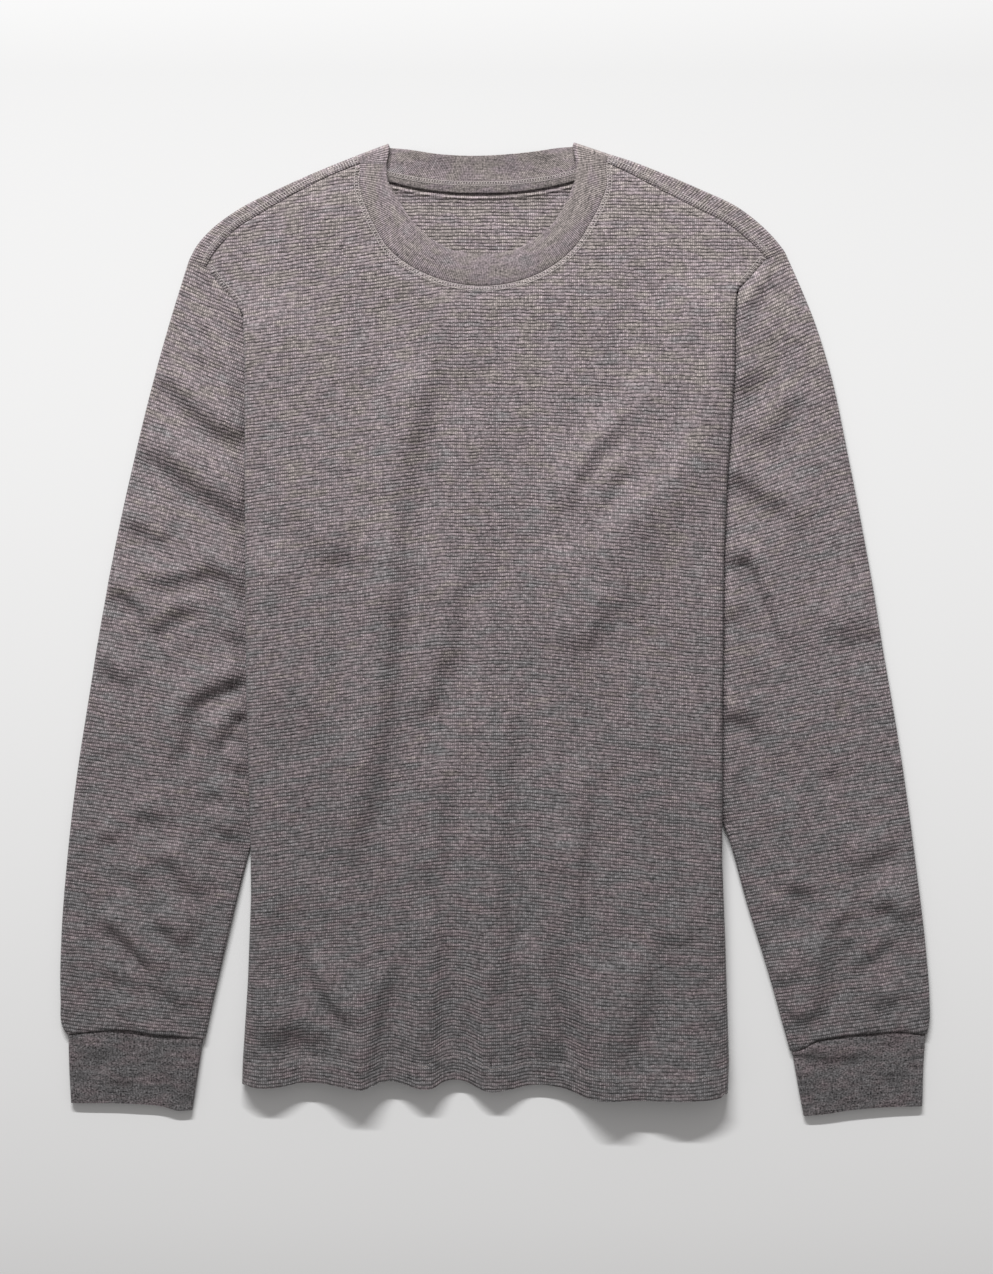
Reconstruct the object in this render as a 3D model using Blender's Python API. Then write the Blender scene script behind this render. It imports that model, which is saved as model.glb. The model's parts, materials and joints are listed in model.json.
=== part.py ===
"""A long-sleeved thermal top of waffle knit, laid flat on its back with its front up.

The collar points along +Y and the body's width runs along X. Sizes are in millimetres until a
mesh is made. The sides of the body are turned under, as they are when a top is laid out neatly:
each panel rolls round the fold line and comes back inwards as a flap, down to the side seam. The
sleeves leave the flaps at the armholes and come out from under the body. Counted up from the
surface, the plies at a side are the sleeve's back, the sleeve's front, the front panel's flap,
the back panel's flap, the back panel and the front panel.
"""

import math
from typing import NamedTuple

import bmesh
import bpy
import numpy as np
from mathutils import Vector
from mathutils.geometry import delaunay_2d_cdt

MM = 0.001
TINY = 1e-9
CURVE_SAMPLES = 600

# Cloth
WALL = 1.5  # waffle knit
BAND_WALL = 2.4  # the neckband's doubled rib
CUFF_WALL = 2.0  # the cuffs' doubled rib
TAPE_WALL = 1.0
PLY = 2.1  # from the middle of one ply to the middle of the next
SEAM_INSET = 0.2  # each piece stops this far short of a seam line
FLOOR_PLY = WALL / 2  # height of the middle of the lowest ply

# Air between the plies
LOFT = 1.2
NECK_LOFT = 1.35  # more, round the neckband, which is thicker
NECK_CENTRE = (-1.0, 690.0)
NECK_REACH = (200.0, 160.0)  # along X and Y, where that extra loft ends
NECK_LOFT_EDGE = 0.5  # the share of the reach with all of it
SLEEVE_EDGE_LOFT = 1.4
SLEEVE_CROWN = 2.6  # and this much more along the sleeve's middle
SLEEVE_FULL_BELOW = 70.0  # the sleeve gets its loft within this length below the shoulder
SHOULDER_DROP = 40.0  # from the shoulder's end down to the top of the fold
CUFF_LOFT = 1.4
CUFF_CROWN = 0.8
TAPE_AIR = 0.3  # between the neckband and the tape

# The turned-under sides
FLAP_WIDTH = 80.0
FLAP_SHAPE = (0.45, 0.55)  # the armhole's line: a straight share and a curved one
UNDERARM_Y = 409.5
SLEEVE_EXIT_Y = 180.0  # where the sleeve's inner edge comes out from under the body
ROLL_WIDTH = 3.2  # how far the front panel's roll reaches inwards
WEDGE_NARROWING = 0.8  # the roll widens to the shoulder seam's first stretch, where it fades out
ROLL_LIFT = 1.2  # the outermost line of the roll, above the flap
EDGE_SETBACK = 0.3  # the front panel stays this far off the armhole, where it starts to rise
BACK_SETBACK = WALL / 2 + PLY + 0.25  # from the fold line to the back panel's roll, inside
OPEN_LENGTH = 25.0  # below the top of the fold, the roll closes within this length
RAMP_FRONT = (80.0, 50.0)  # how far the front panel takes to come down, along X and Y
RAMP_BACK = (26.0, 18.0)  # the same for the flaps and the back panel
RAMP_EDGE = 22.0  # above the top of the fold, where the front panel's roll fades out
RAMP_EDGE_BACK = 45.0
FLAP_MARGIN = 12.0  # the flaps pass this far beyond the sleeve before they come down
BACK_MARGIN = 22.0  # and the back panel this far
BACK_FLAP_MARGIN = 3.0  # beyond the flaps
SLEEVE_FLAT = (8.0, 28.0)  # outside the fold the sleeve lies flat, then has its full loft
BACK_HEM_RISE = 9.0  # the back hem stops short of the front one

# Resolution
FRONT_SPACING = 21.0  # between the points that fill a panel
BACK_SPACING = 30.0
LATTICE_ROW = 0.87  # from row to row, in spacings
LATTICE_CLEARANCE = 0.55  # from an edge or a line, in spacings
EDGE_CLEARANCE = 5.0  # from an edge to the points of a line
CDT_EPSILON = 1e-4
SHOULDER_COLUMNS = 6
NECK_COLUMNS = 18
BACK_NECK_COLUMNS = 12
HEM_COLUMNS = 34
BACK_HEM_COLUMNS = 14
FLAP_COLUMNS = 3
ROLL_STEPS = 3
STRIP_ROWS = 2
ARMHOLE_HIDDEN_COLUMNS = 6
FOLD_ROWS = (2, 5, 12)  # roll closing, down to the underarm, down to the hem
LINE_STEP = 22.0  # between the points of a line
FOLD_FLANKS = (-1.3, -0.6, 0.0, 0.6, 1.3)  # lines along a standing fold, in half widths
SLEEVE_ROWS = 18
CUFF_ROWS = 3
BAND_ROWS = 2

SIGN = {"left": 1, "right": -1}  # the way inwards, along X

# Seams and edges, in columns of x and y. "Left" is the side at -X.
SHOULDER_EDGE = {  # the top edge of the shoulder, from the neck to the arm
    "left": [(-98.5, 721.5), (-127.0, 710.0), (-161.5, 694.5), (-191.5, 679.0), (-212.0, 663.5),
             (-222.5, 651.5), (-228.5, 640.0)],
    "right": [(95.5, 722.5), (111.5, 717.5), (135.0, 708.5), (165.5, 695.5), (196.5, 680.5),
              (212.0, 668.5), (223.5, 657.0), (231.0, 647.5)],
}
SHOULDER_SEAM = {  # the forward seam, from the neck to the arm
    "left": [(-96.0, 715.0), (-115.0, 707.5), (-144.5, 693.0), (-174.0, 676.0), (-189.5, 666.5),
             (-200.5, 656.5), (-210.0, 645.0), (-215.0, 636.0)],
    "right": [(93.0, 716.0), (111.0, 707.5), (132.5, 696.0), (162.0, 681.0), (191.5, 665.5),
              (201.5, 657.5), (209.5, 650.5), (217.0, 642.0)],
}
ARMHOLE = {  # the stretch on top, from the shoulder's edge to where the fold covers it
    "left": [(-228.5, 640.0), (-215.0, 636.0), (-203.5, 620.0), (-193.5, 609.0), (-186.5, 598.5)],
    "right": [(231.0, 647.5), (217.0, 642.0), (210.0, 633.5), (202.5, 624.5), (194.0, 616.0)],
}
FOLD = {  # the body's side, downwards
    "left": [(-186.5, 598.5), (-185.0, 563.5), (-185.0, 456.0), (-183.5, 302.0), (-180.5, 200.0),
             (-180.0, 150.0), (-182.5, 86.0), (-186.5, 25.0), (-187.0, 7.0)],
    "right": [(194.0, 616.0), (192.5, 586.5), (192.5, 556.5), (189.5, 512.0), (186.5, 471.0),
              (184.0, 409.5), (183.0, 300.0), (182.5, 178.5), (185.0, 117.0), (188.0, 24.5),
              (187.0, 0.0)],
}
SLEEVE_OUTER = {  # from the shoulder to the cuff
    "left": [(-228.5, 640.0), (-242.5, 594.5), (-255.5, 548.0), (-270.5, 486.5),
             (-284.0, 425.0), (-295.5, 363.5), (-305.5, 302.0), (-315.0, 240.0),
             (-322.0, 178.5), (-326.5, 117.0), (-327.0, 71.0), (-325.5, 50.0), (-322.5, 44.5)],
    "right": [(231.0, 647.5), (241.0, 625.0), (253.5, 594.5), (263.5, 563.5), (280.5, 486.5),
              (289.5, 440.5), (298.0, 394.0), (305.5, 348.0), (321.0, 255.5), (333.5, 163.0),
              (339.0, 117.0), (342.5, 71.0), (342.5, 54.0), (340.5, 44.5)],
}
SLEEVE_INNER = {  # from the underarm to the cuff
    "left": [(-104.5, 409.5), (-136.5, 332.5), (-161.0, 255.5), (-183.5, 178.5),
             (-198.5, 117.0), (-212.5, 55.5), (-215.5, 41.0)],
    "right": [(103.0, 409.5), (135.0, 332.5), (163.0, 255.5), (188.0, 194.0), (201.0, 148.0),
              (220.0, 86.0), (229.5, 51.5), (235.0, 31.5)],
}
CUFF_SEAM = {  # from the outer edge to the inner one
    "left": [(-322.5, 44.5), (-300.5, 47.0), (-277.0, 48.5), (-250.0, 44.5), (-215.5, 41.0)],
    "right": [(340.5, 44.5), (315.5, 47.0), (296.5, 45.5), (269.5, 43.0), (254.0, 39.5),
              (245.0, 34.0), (235.0, 31.5)],
}
CUFF_OUTER = {
    "left": [(-321.0, 44.5), (-320.5, 21.0), (-319.0, -8.5)],
    "right": [(339.5, 44.5), (338.0, 23.0), (337.0, -11.0)],
}
CUFF_INNER = {
    "left": [(-217.0, 41.0), (-222.0, 9.0), (-225.5, -14.0)],
    "right": [(236.5, 31.5), (242.5, -2.5), (245.5, -18.5)],
}
CUFF_EDGE = {
    "left": [(-319.0, -8.5), (-273.5, -9.0), (-246.5, -11.5), (-238.5, -14.0), (-225.5, -14.0)],
    "right": [(337.0, -11.0), (312.0, -11.5), (281.0, -14.0), (258.0, -17.5), (245.5, -18.5)],
}
HEM = [  # the front hem, from the left fold to the right one
    (-187.0, 7.0), (-174.0, 4.5), (-155.0, 5.5), (-140.0, 8.5), (-122.5, 7.5), (-107.0, 5.5),
    (-94.5, 3.5), (-80.0, 8.5), (-71.0, 9.0), (-62.5, 7.0), (-52.5, 4.0), (-40.0, 4.0),
    (-32.5, 8.5), (-24.5, 10.0), (-14.5, 8.5), (-1.5, 2.0), (21.5, 3.0), (32.5, 5.5),
    (58.0, 4.0), (68.0, 1.0), (78.0, -3.0), (108.0, -4.5), (161.0, -4.5), (179.5, -3.0),
    (187.0, 0.0),
]
NECK_FRONT_SEAM = [
    (-96.0, 715.0), (-96.5, 698.5), (-91.0, 680.5), (-84.0, 665.5), (-73.0, 648.5),
    (-60.0, 638.0), (-47.0, 631.0), (-31.0, 625.0), (-1.0, 621.0), (15.5, 622.5), (35.5, 628.0),
    (55.5, 639.0), (68.5, 650.5), (80.0, 668.0), (88.5, 684.0), (93.5, 698.5), (93.0, 716.0),
]
NECK_FRONT_EDGE = [
    (-74.5, 730.5), (-76.0, 714.0), (-74.5, 701.0), (-68.0, 689.5), (-59.0, 674.5),
    (-47.0, 661.5), (-30.0, 650.0), (-17.5, 646.5), (-1.0, 645.5), (22.5, 648.5), (39.5, 657.5),
    (52.5, 669.0), (63.0, 687.0), (69.0, 702.0), (70.0, 717.5), (68.5, 731.5),
]
NECK_BACK_EDGE = [
    (-74.5, 730.5), (-60.0, 726.0), (-37.5, 722.5), (-11.0, 721.0), (15.5, 722.0),
    (39.5, 724.5), (55.5, 727.0), (68.5, 731.5),
]
NECK_BACK_SEAM = [  # between the two shoulder rolls, which give its ends
    (-87.0, 708.5), (-73.0, 702.0), (-51.0, 697.0), (-24.5, 694.0), (2.5, 694.0), (28.5, 695.5),
    (55.5, 700.0), (73.0, 704.5), (84.0, 710.0),
]
TAPE_TOP = [(-79.0, 710.5), (-51.0, 704.5), (-24.5, 702.0), (2.5, 701.5), (28.5, 703.0),
            (55.5, 707.0), (75.0, 712.5)]
TAPE_BOTTOM = [(-79.0, 702.5), (-51.0, 696.0), (-24.5, 693.0), (2.5, 692.5), (28.5, 694.0),
               (55.5, 698.5), (75.0, 703.5)]

# Folds that stand up from the cloth, in columns of foot x, foot y, head x, head y, half width,
# height at the foot and height at the head.
BODY_FOLDS = [
    (-165.0, 4.0, -162.0, 148.0, 15.0, 4.0, 1.0),
    (-100.0, 2.0, -114.0, 150.0, 19.0, 13.0, 2.0),
    (-46.0, 2.0, -60.0, 245.0, 13.0, 12.0, 2.0),
    (7.0, 2.0, -8.0, 300.0, 15.0, 8.0, 1.5),
    (94.0, -4.0, 58.0, 190.0, 18.0, 14.0, 2.5),
    (150.0, -4.0, 130.0, 120.0, 34.0, 13.0, 1.5),
    (-104.0, 186.0, -75.0, 379.0, 15.0, 2.0, 3.0),
    (-75.0, 379.0, -52.0, 540.0, 15.0, 3.0, 2.0),
    (69.0, 456.0, 119.0, 537.0, 14.0, 2.0, 2.0),
]
SLEEVE_FOLDS = {
    "left": [
        (-258.0, 502.0, -195.0, 462.0, 12.0, 2.0, 3.5),
        (-231.0, 309.0, -195.0, 323.0, 12.0, 2.5, 4.5),
        (-292.0, 163.0, -231.0, 80.0, 12.0, 2.5, 2.5),
    ],
    "right": [
        (208.0, 513.0, 242.0, 552.0, 12.0, 2.5, 2.0),
        (205.0, 385.0, 239.0, 240.0, 12.0, 3.0, 2.5),
        (254.0, 148.0, 243.0, 71.0, 12.0, 3.0, 2.5),
        (269.0, 101.0, 323.0, 150.0, 12.0, 2.5, 2.0),
    ],
}

COLOURS = {  # base colour, roughness
    "waffle": ((0.150, 0.132, 0.130, 1.0), 0.95),
    "rib": ((0.112, 0.102, 0.103, 1.0), 0.95),
    "tape": ((0.190, 0.165, 0.160, 1.0), 0.95),
}


def smoothstep(start, end, value):
    t = np.clip((value - start) / (end - start), 0.0, 1.0)
    return t * t * (3.0 - 2.0 * t)


def smooth_curve(points):
    """A function from 0..1 to a point at even speed along a smooth curve through the points."""
    points = np.array(points, float)
    knots = np.concatenate([[0.0], np.cumsum(np.linalg.norm(np.diff(points, axis=0), axis=1))])
    slopes = np.gradient(points, knots, axis=0)
    dense = np.linspace(0.0, knots[-1], CURVE_SAMPLES)
    k = np.clip(np.searchsorted(knots, dense, side="right") - 1, 0, len(knots) - 2)
    step = (knots[k + 1] - knots[k])[:, None]
    t = (dense[:, None] - knots[k][:, None]) / step
    run = (
        (2 * t**3 - 3 * t**2 + 1) * points[k]
        + (t**3 - 2 * t**2 + t) * step * slopes[k]
        + (3 * t**2 - 2 * t**3) * points[k + 1]
        + (t**3 - t**2) * step * slopes[k + 1]
    )
    length = np.concatenate([[0.0], np.cumsum(np.linalg.norm(np.diff(run, axis=0), axis=1))])

    def at(fraction):
        along = fraction * length[-1]
        return np.array([np.interp(along, length, run[:, 0]), np.interp(along, length, run[:, 1])])

    return at


def samples(curve, count):
    return [curve(k / count) for k in range(count + 1)]


def unit(vector):
    return vector / max(np.linalg.norm(vector), TINY)


def offset_run(points, amount):
    """A run of plan points moved sideways, to the right of its own direction."""
    points = np.array(points, float)
    steps = np.diff(points, axis=0)
    normals = np.stack([steps[:, 1], -steps[:, 0]], axis=1)
    normals /= np.linalg.norm(normals, axis=1)[:, None]
    before = np.concatenate([normals[:1], normals])
    after = np.concatenate([normals, normals[-1:]])
    mitre = (before + after) / (1.0 + (before * after).sum(axis=1))[:, None]
    return points + amount * mitre


def coons(top, bottom, left, right, u, v):
    """Rows of plan points that fill four edges, at the places u along top and v along left."""
    top, bottom, left, right = (np.array(edge, float) for edge in (top, bottom, left, right))
    u = np.asarray(u)[None, :, None]
    v = np.asarray(v)[:, None, None]
    across = (1 - v) * top[None] + v * bottom[None]
    down = (1 - u) * left[:, None] + u * right[:, None]
    corners = (
        (1 - u) * (1 - v) * top[0]
        + u * (1 - v) * top[-1]
        + (1 - u) * v * bottom[0]
        + u * v * bottom[-1]
    )
    return across + down - corners


def fractions(points):
    """How far along its own length each point of a run lies, from 0 to 1."""
    steps = np.linalg.norm(np.diff(np.array(points, float), axis=0), axis=1)
    along = np.concatenate([[0.0], np.cumsum(steps)])
    return along / along[-1]


def clearance(points, starts, ends):
    """The distance from each plan point to the nearest of the segments."""
    run = ends - starts
    away = points[:, None] - starts[None]
    share = (away * run).sum(axis=2) / np.maximum((run**2).sum(axis=1), TINY)
    along = np.clip(share, 0.0, 1.0)
    return np.linalg.norm(away - along[:, :, None] * run, axis=2).min(axis=1)


def enclosed(points, ring):
    """Whether each plan point lies inside a closed ring."""
    starts, ends = ring, np.roll(ring, -1, axis=0)
    x, y = points[:, 0:1], points[:, 1:2]
    spans = (starts[:, 1] > y) != (ends[:, 1] > y)
    rise = np.where(ends[:, 1] == starts[:, 1], 1.0, ends[:, 1] - starts[:, 1])
    crossing = starts[:, 0] + (y - starts[:, 1]) * (ends[:, 0] - starts[:, 0]) / rise
    return (spans & (x < crossing)).sum(axis=1) % 2 == 1


def filled(outline, lines, spacing, height):
    """Triangles across a closed outline of points, with plan lines and a lattice inside it."""
    ring = np.array([point[:2] for point in outline], float)
    starts, ends = ring, np.roll(ring, -1, axis=0)
    plan, edges = [tuple(point) for point in ring], []
    for line in lines:
        line = np.array(line, float)
        line = line[enclosed(line, ring) & (clearance(line, starts, ends) > EDGE_CLEARANCE)]
        first = len(plan)
        plan += [tuple(point) for point in line]
        edges += [(k, k + 1) for k in range(first, len(plan) - 1)]
    starts = np.concatenate([starts, *[np.array([plan[a]]) for a, b in edges]])
    ends = np.concatenate([ends, *[np.array([plan[b]]) for a, b in edges]])
    low, high = ring.min(axis=0), ring.max(axis=0)
    lattice = []
    for i, y in enumerate(np.arange(low[1], high[1], spacing * LATTICE_ROW)):
        shift = spacing / 2 if i % 2 else 0.0
        lattice += [(x, y) for x in np.arange(low[0] + shift, high[0], spacing)]
    lattice = np.array(lattice)
    keep = enclosed(lattice, ring)
    keep &= clearance(lattice, starts, ends) > spacing * LATTICE_CLEARANCE
    plan += [tuple(point) for point in lattice[keep]]
    made = delaunay_2d_cdt(
        [Vector(point) for point in plan], edges, [list(range(len(ring)))], 1, CDT_EPSILON
    )
    points = []
    for place, sources in zip(made[0], made[3]):
        known = [source for source in sources if source < len(ring)]
        if known:
            points.append(tuple(outline[known[0]]))
        else:
            points.append((place.x, place.y, float(height(place.x, place.y))))
    return [[points[k] for k in face] for face in made[2]]


# ---- the lie of the cloth ----


def at_height(run, y):
    """The x of a run that only goes down, at this y."""
    x_values, y_values = zip(*run)
    return np.interp(-y, [-value for value in y_values], x_values)


def fold_x(side, y):
    return at_height(FOLD[side], y)


def inward(side, x, y):
    """How far a point lies inside the body's fold line."""
    return (x - fold_x(side, y)) * SIGN[side]


def fold_top(side):
    return FOLD[side][0][1]


def flap_width(side, y):
    """From the fold line to the flap's edge: the armhole, and the side seam below the underarm."""
    t = np.clip((fold_top(side) - y) / (fold_top(side) - UNDERARM_Y), 0.0, 1.0)
    return FLAP_WIDTH * (FLAP_SHAPE[0] * t + FLAP_SHAPE[1] * t**3)


def sleeve_reach(side, y):
    """How far inside the fold line the sleeve reaches. It is negative where the sleeve is clear."""
    if y > UNDERARM_Y:
        return flap_width(side, y)
    return inward(side, at_height(SLEEVE_INNER[side], y), y)


def presence(side, x, y, reach, ramp):
    """1 over a hidden strip of this reach, then a way down to 0 beside it and above it."""
    beside = max(0.0, inward(side, x, y) - reach) / ramp[0]
    above = max(0.0, y - fold_top(side)) / ramp[1]
    return 1.0 - min(1.0, math.hypot(beside, above))


def over_sleeves(x, y, margin, ramp):
    return max(presence(side, x, y, sleeve_reach(side, y) + margin, ramp) for side in FOLD)


def over_flaps(x, y, margin, ramp):
    return max(presence(side, x, y, flap_width(side, y) + margin, ramp) for side in FOLD)


def relief(folds, x, y):
    """The height of the folds at a point: a soft ridge along each row of the table."""
    total = 0.0
    for foot_x, foot_y, head_x, head_y, half_width, foot_height, head_height in folds:
        run_x, run_y = head_x - foot_x, head_y - foot_y
        t = ((x - foot_x) * run_x + (y - foot_y) * run_y) / (run_x**2 + run_y**2)
        t = min(max(t, 0.0), 1.0)
        away = math.hypot(x - foot_x - t * run_x, y - foot_y - t * run_y)
        height = foot_height + (head_height - foot_height) * smoothstep(0.0, 1.0, t)
        total += height * math.exp(-((away / half_width) ** 2))
    return total


def neck_loft(x, y):
    away = math.hypot((x - NECK_CENTRE[0]) / NECK_REACH[0], (y - NECK_CENTRE[1]) / NECK_REACH[1])
    return NECK_LOFT * (1.0 - smoothstep(NECK_LOFT_EDGE, 1.0, away))


def shoulder_height(x, y):
    """The front layer where nothing is tucked under it."""
    return FLOOR_PLY + PLY + LOFT + neck_loft(x, y)


def front_height(x, y):
    sleeves = smoothstep(0.0, 1.0, over_sleeves(x, y, FLAP_MARGIN, RAMP_FRONT))
    flaps = smoothstep(0.0, 1.0, over_flaps(x, y, 0.0, RAMP_FRONT))
    return shoulder_height(x, y) + 2 * PLY * (sleeves + flaps) + relief(BODY_FOLDS, x, y)


def back_height(x, y):
    sleeves = over_sleeves(x, y, BACK_MARGIN, RAMP_BACK)
    flaps = over_flaps(x, y, BACK_FLAP_MARGIN, RAMP_BACK)
    return FLOOR_PLY + 2 * PLY * (sleeves + flaps)


def front_flap_height(x, y):
    return FLOOR_PLY + 2 * PLY * over_sleeves(x, y, FLAP_MARGIN, RAMP_BACK)


def back_flap_height(x, y):
    return front_flap_height(x, y) + PLY


def near_fold_top(side, y, ramp):
    """0 well above the top of the fold, 1 from there down."""
    return float(1.0 - smoothstep(0.0, ramp, y - fold_top(side)))


# ---- making a solid ----


def material(name):
    made = bpy.data.materials.new(name)
    made.use_nodes = True
    colour, roughness = COLOURS[name]
    shader = made.node_tree.nodes["Principled BSDF"]
    shader.inputs["Base Color"].default_value = colour
    shader.inputs["Roughness"].default_value = roughness
    shader.inputs["Metallic"].default_value = 0.0
    return made


def cloth(name, grids, wall, finish, triangles=()):
    """One piece of cloth: grids and triangles that share their edges, thickened to a wall."""
    mesh = bmesh.new()
    found = {}

    def vertex(point):
        key = tuple(round(float(value), 3) for value in point)
        if key not in found:
            found[key] = mesh.verts.new([value * MM for value in key])
        return found[key]

    def face(corners):
        ring = list(dict.fromkeys(vertex(corner) for corner in corners))
        if len(ring) > 2:
            mesh.faces.new(ring)

    for grid in grids:
        for upper, lower in zip(grid, grid[1:]):
            for k in range(len(upper) - 1):
                face([upper[k], lower[k], lower[k + 1], upper[k + 1]])
    for triangle in triangles:
        face(triangle)
    bmesh.ops.recalc_face_normals(mesh, faces=mesh.faces)
    sheet = bpy.data.meshes.new(name)
    mesh.to_mesh(sheet)
    mesh.free()
    sheet.materials.append(finish)
    sheet.shade_smooth()
    piece = bpy.data.objects.new(name, sheet)
    bpy.context.scene.collection.objects.link(piece)
    thickness = piece.modifiers.new("wall", "SOLIDIFY")
    thickness.thickness = wall * MM
    thickness.offset = 0.0
    thickness.use_quality_normals = True
    return piece


# ---- body panels ----


class SideRow(NamedTuple):
    """One row across a turned-under side."""

    edge: np.ndarray  # on the armhole or the fold line
    towards: np.ndarray  # into the panel
    closing: float  # 0 where the edge lies flat, 1 where it has its full roll
    opening: float  # how much of the roll's lower quarter there is, up to 1


def side_rows(side, armhole, ramp):
    """Rows down a side: the armhole's points to the top of the fold, then the fold."""
    rows = []
    normals = offset_run(armhole, -SIGN[side]) - armhole
    for point, normal in zip(armhole[:-1], normals):
        rows.append(SideRow(point, unit(normal), near_fold_top(side, point[1], ramp), 0.0))
    across = np.array([SIGN[side], 0.0])
    top, hem = fold_top(side), FOLD[side][-1][1]
    rows.append(SideRow(armhole[-1], across, 1.0, 0.0))
    stops = [top, top - OPEN_LENGTH, UNDERARM_Y, hem]
    for count, start, end in zip(FOLD_ROWS, stops, stops[1:]):
        for k in range(1, count + 1):
            y = start + (end - start) * k / count
            opening = min(1.0, (top - y) / OPEN_LENGTH)
            rows.append(SideRow(np.array([fold_x(side, y), y]), across, 1.0, opening))
    return rows


def roll(side, row, start, width, heights, flap_height):
    """Points of a turned-under side, from the flap's end up to where the top begins.

    heights are those of the top, of the outermost line and of the flap.
    """
    top_z, edge_z, flap_z = heights

    def on_roll(angle):
        plan = row.edge + row.towards * (start + width * (1.0 - math.cos(angle)))
        rise = top_z - edge_z if angle > 0 else edge_z - flap_z
        return (*plan, edge_z + rise * math.sin(angle))

    quarter = 0.5 * math.pi / ROLL_STEPS
    upper = [on_roll(quarter * k) for k in range(ROLL_STEPS + 1)]
    lower = [on_roll(-quarter * row.opening * k) for k in range(ROLL_STEPS, 0, -1)]
    flap = [lower[0]] * FLAP_COLUMNS
    flap_start = start + width
    flap_end = flap_width(side, row.edge[1]) - SEAM_INSET
    if row.opening == 1.0 and flap_end > flap_start:
        for k in range(FLAP_COLUMNS):
            away = flap_end + (flap_start - flap_end) * k / FLAP_COLUMNS
            plan = row.edge + row.towards * away
            flap[k] = (*plan, flap_height(*plan))
    return flap + lower + upper


def between(left, right, curve, count):
    """A run from left to right, with points of a curve between them."""
    return [left, *samples(curve, count)[1:-1], right]


def fold_lines(foot_x, foot_y, head_x, head_y, half_width, *_):
    """Plan lines along a standing fold: its crest, and others down its two flanks."""
    foot, head = np.array([foot_x, foot_y]), np.array([head_x, head_y])
    along = unit(head - foot)
    aside = np.array([along[1], -along[0]]) * half_width
    count = round(np.linalg.norm(head - foot) / LINE_STEP)
    return [
        [foot + (head - foot) * k / count + aside * flank for k in range(count + 1)]
        for flank in FOLD_FLANKS
    ]


def front_panel(finish):
    neckline = samples(smooth_curve(NECK_FRONT_SEAM), NECK_COLUMNS)
    seams = {side: samples(smooth_curve(SHOULDER_SEAM[side]), SHOULDER_COLUMNS) for side in FOLD}
    run = [*ARMHOLE["left"][:1:-1], *seams["left"][::-1], *neckline[1:-1], *seams["right"],
           *ARMHOLE["right"][2:]]
    run = offset_run(run, SEAM_INSET)
    armhole_count = len(ARMHOLE["left"]) - 1
    armholes = {"left": run[armhole_count - 1::-1], "right": run[-armhole_count:]}
    top = run[armhole_count:-armhole_count]
    grids, edges = [], {}
    for side in FOLD:
        corner = top[0] if side == "left" else top[-1]
        rows = side_rows(side, armholes[side], RAMP_EDGE)
        first = rows[0].edge
        rows[0] = rows[0]._replace(towards=unit(corner - first))
        seam_length = np.linalg.norm(corner - first)
        grid = []
        for i, row in enumerate(rows):
            start = max(row.closing * WALL / 2, EDGE_SETBACK)
            fade = (seam_length - ROLL_WIDTH) * (1.0 - row.closing)
            width = ROLL_WIDTH + fade * (WEDGE_NARROWING if i else 1.0)
            inner = row.edge + row.towards * (start + width)
            flap_z = front_flap_height(*(row.edge + row.towards * start))
            edge_z = shoulder_height(*row.edge) * (1.0 - row.closing)
            edge_z += row.closing * (flap_z + ROLL_LIFT)
            heights = (front_height(*inner), edge_z, flap_z)
            grid.append(roll(side, row, start, width, heights, front_flap_height))
        grids.append(grid)
        edges[side] = [row[-1] for row in grid]
    top_points = [(*point, front_height(*point)) for point in top[1:-1]]
    hem = between(edges["right"][-1], edges["left"][-1], smooth_curve(HEM[::-1]), HEM_COLUMNS)
    hem_points = [(*point[:2], front_height(*point[:2])) for point in hem[1:-1]]
    outline = edges["left"][::-1] + top_points + edges["right"] + hem_points
    lines = [line for fold in BODY_FOLDS for line in fold_lines(*fold)]
    inside = filled(outline, lines, FRONT_SPACING, front_height)
    return cloth("front_panel", grids, WALL, finish, inside)


def shoulder_strip(side):
    """The part of the back panel that comes over the shoulder to the forward seam."""
    edge = samples(smooth_curve(SHOULDER_EDGE[side][::-1]), SHOULDER_COLUMNS)
    seam = samples(smooth_curve(SHOULDER_SEAM[side][::-1]), SHOULDER_COLUMNS)
    columns = []
    for outer, inner in zip(edge, seam):
        towards = unit(inner - outer)
        radius = (shoulder_height(*outer) - FLOOR_PLY) / 2
        centre = outer + towards * (WALL / 2 + radius)
        over = []
        steps = 2 * ROLL_STEPS
        for k in range(steps + 1):
            angle = math.pi * (k / steps - 0.5)
            rise = radius * (1.0 + math.sin(angle))
            over.append((*(centre - towards * radius * math.cos(angle)), FLOOR_PLY + rise))
        end = inner - towards * SEAM_INSET
        for k in range(1, STRIP_ROWS + 1):
            over.append((*(centre + (end - centre) * k / STRIP_ROWS), shoulder_height(*outer)))
        columns.append(over)
    grid = np.array(columns).transpose(1, 0, 2)
    for column, next_column in ((0, 1), (-1, -2)):
        shift = grid[:, next_column, :2] - grid[:, column, :2]
        grid[:, column, :2] += SEAM_INSET * shift / np.linalg.norm(shift, axis=1)[:, None]
    return grid


def back_lines(side):
    """Plan lines where the back panel starts and ends its way down from what it covers."""
    lines = []
    for reach, margin, low in (
        (flap_width, BACK_FLAP_MARGIN, FOLD[side][-1][1]),
        (sleeve_reach, BACK_MARGIN, SLEEVE_EXIT_Y),
    ):
        for extra in (0.0, RAMP_BACK[0]):
            count = round((fold_top(side) - low) / LINE_STEP)
            line = []
            for k in range(count + 1):
                y = fold_top(side) + (low - fold_top(side)) * k / count
                away = reach(side, y) + margin + extra
                line.append((fold_x(side, y) + SIGN[side] * away, y))
            lines.append(line)
    return lines


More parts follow.
